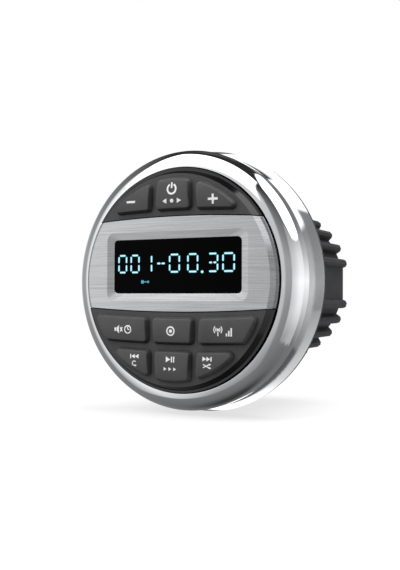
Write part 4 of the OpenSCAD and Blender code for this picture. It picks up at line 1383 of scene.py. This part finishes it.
def dome_mesh(columns=321, rows=201):
    """A ball of points at the dome's radius in each direction, with the glow there as an attribute."""
    azimuth, elevation = np.meshgrid(np.linspace(-180, 180, columns), np.linspace(-90, 90, rows))
    points = direction(azimuth, elevation).reshape(-1, 3) * dome_r * MM
    mesh = bpy.data.meshes.new("studio_dome")
    mesh.from_pydata(points.tolist(), [], grid_quads(rows, columns))
    glow = mesh.attributes.new("glow", "FLOAT", "POINT")
    glow.data.foreach_set("value", studio_glow(azimuth, elevation).ravel())
    return mesh


dome = add_stage("studio_dome", dome_mesh(), glow_paint())
dome.visible_camera = False
dome.visible_diffuse = False
dome.visible_shadow = False
print("dome faces:", len(dome.data.polygons))

# %% [markdown]
# ## Lamps and room light
# Rubber and plastic show soft light from large lamps. One box hangs over the front left, one stands
# at the left and one hangs high at the back, and a card on the floor lights the object from below.
# Metal doesn't mirror the lamps, because it has the dome. The room could light everything evenly,
# but then no form would show. So its light comes more from above than from below, and it is plain
# white only to the camera.

# %% Lamps


def add_lamp(name, width, height, brightness, sideways, upwards, towards, place):
    """A rectangular lamp of even brightness that only lights, and that no mirror shows. Its power is
    the brightness times pi and its area. Sizes and places are in metres."""
    lamp = bpy.data.lights.new(name, "AREA")
    lamp.shape = "RECTANGLE"
    lamp.size, lamp.size_y = width, height
    lamp.energy = brightness * np.pi * width * height
    box = add_object(name, lamp)
    box.matrix_world = placed(sideways, upwards, towards, place)
    box.visible_glossy = False
    print(name, "W:", round(lamp.energy, 3))


def soft_box(name, azimuth, elevation, width, height, brightness, away=1.1):
    """A lamp that faces the object, as wide and high as it is seen from 1 m."""
    towards, sideways = direction(azimuth, elevation), direction(azimuth + 90, 0)
    upwards = np.cross(towards, sideways)
    add_lamp(name, width * away, height * away, brightness, sideways, upwards, towards, towards * away)


soft_box("top_box", azimuth=-30.0, elevation=53.0, width=0.98, height=0.78, brightness=2.8)
soft_box("side_box", azimuth=-58.0, elevation=12.0, width=0.9, height=0.7, brightness=2.1)
soft_box("rear_box", azimuth=125.0, elevation=72.0, width=1.0, height=0.8, brightness=5.0)
card_w, card_l, card_light, card_lift = 0.25, 0.2, 2.0, 0.5
card_place = [0.1, 0.07, (floor_z + card_lift) * MM]
add_lamp(
    "floor_card", card_w, card_l, card_light,
    sideways=[1, 0, 0], upwards=[0, -1, 0], towards=[0, 0, -1], place=card_place,
)

# %% World
room_light = 0.76
world = bpy.data.worlds.new("white_room")
world.use_nodes = True
room = world.node_tree.nodes["Background"]
room.inputs["Color"].default_value = plain_white
heading = add_node(world, "ShaderNodeTexCoord").outputs["Generated"]
rise = add_node(world, "ShaderNodeSeparateXYZ", Vector=heading).outputs["Z"]
rising = add_node(world, "ShaderNodeMapRange", Value=rise, From_Min=-1.0, To_Min=0.0, To_Max=room_light)
link(world, rising.outputs["Result"], room, "Strength")
backdrop = add_node(world, "ShaderNodeBackground", Color=plain_white, Strength=1.0)
seen_room = add_node(world, "ShaderNodeMixShader", Fac=clear_rays(world))
link(world, room.outputs["Background"], seen_room, 1)
link(world, backdrop.outputs["Background"], seen_room, 2)
link(world, seen_room.outputs["Shader"], world.node_tree.nodes["World Output"], "Surface")
bpy.context.scene.world = world
print("room light from straight above:", room_light)
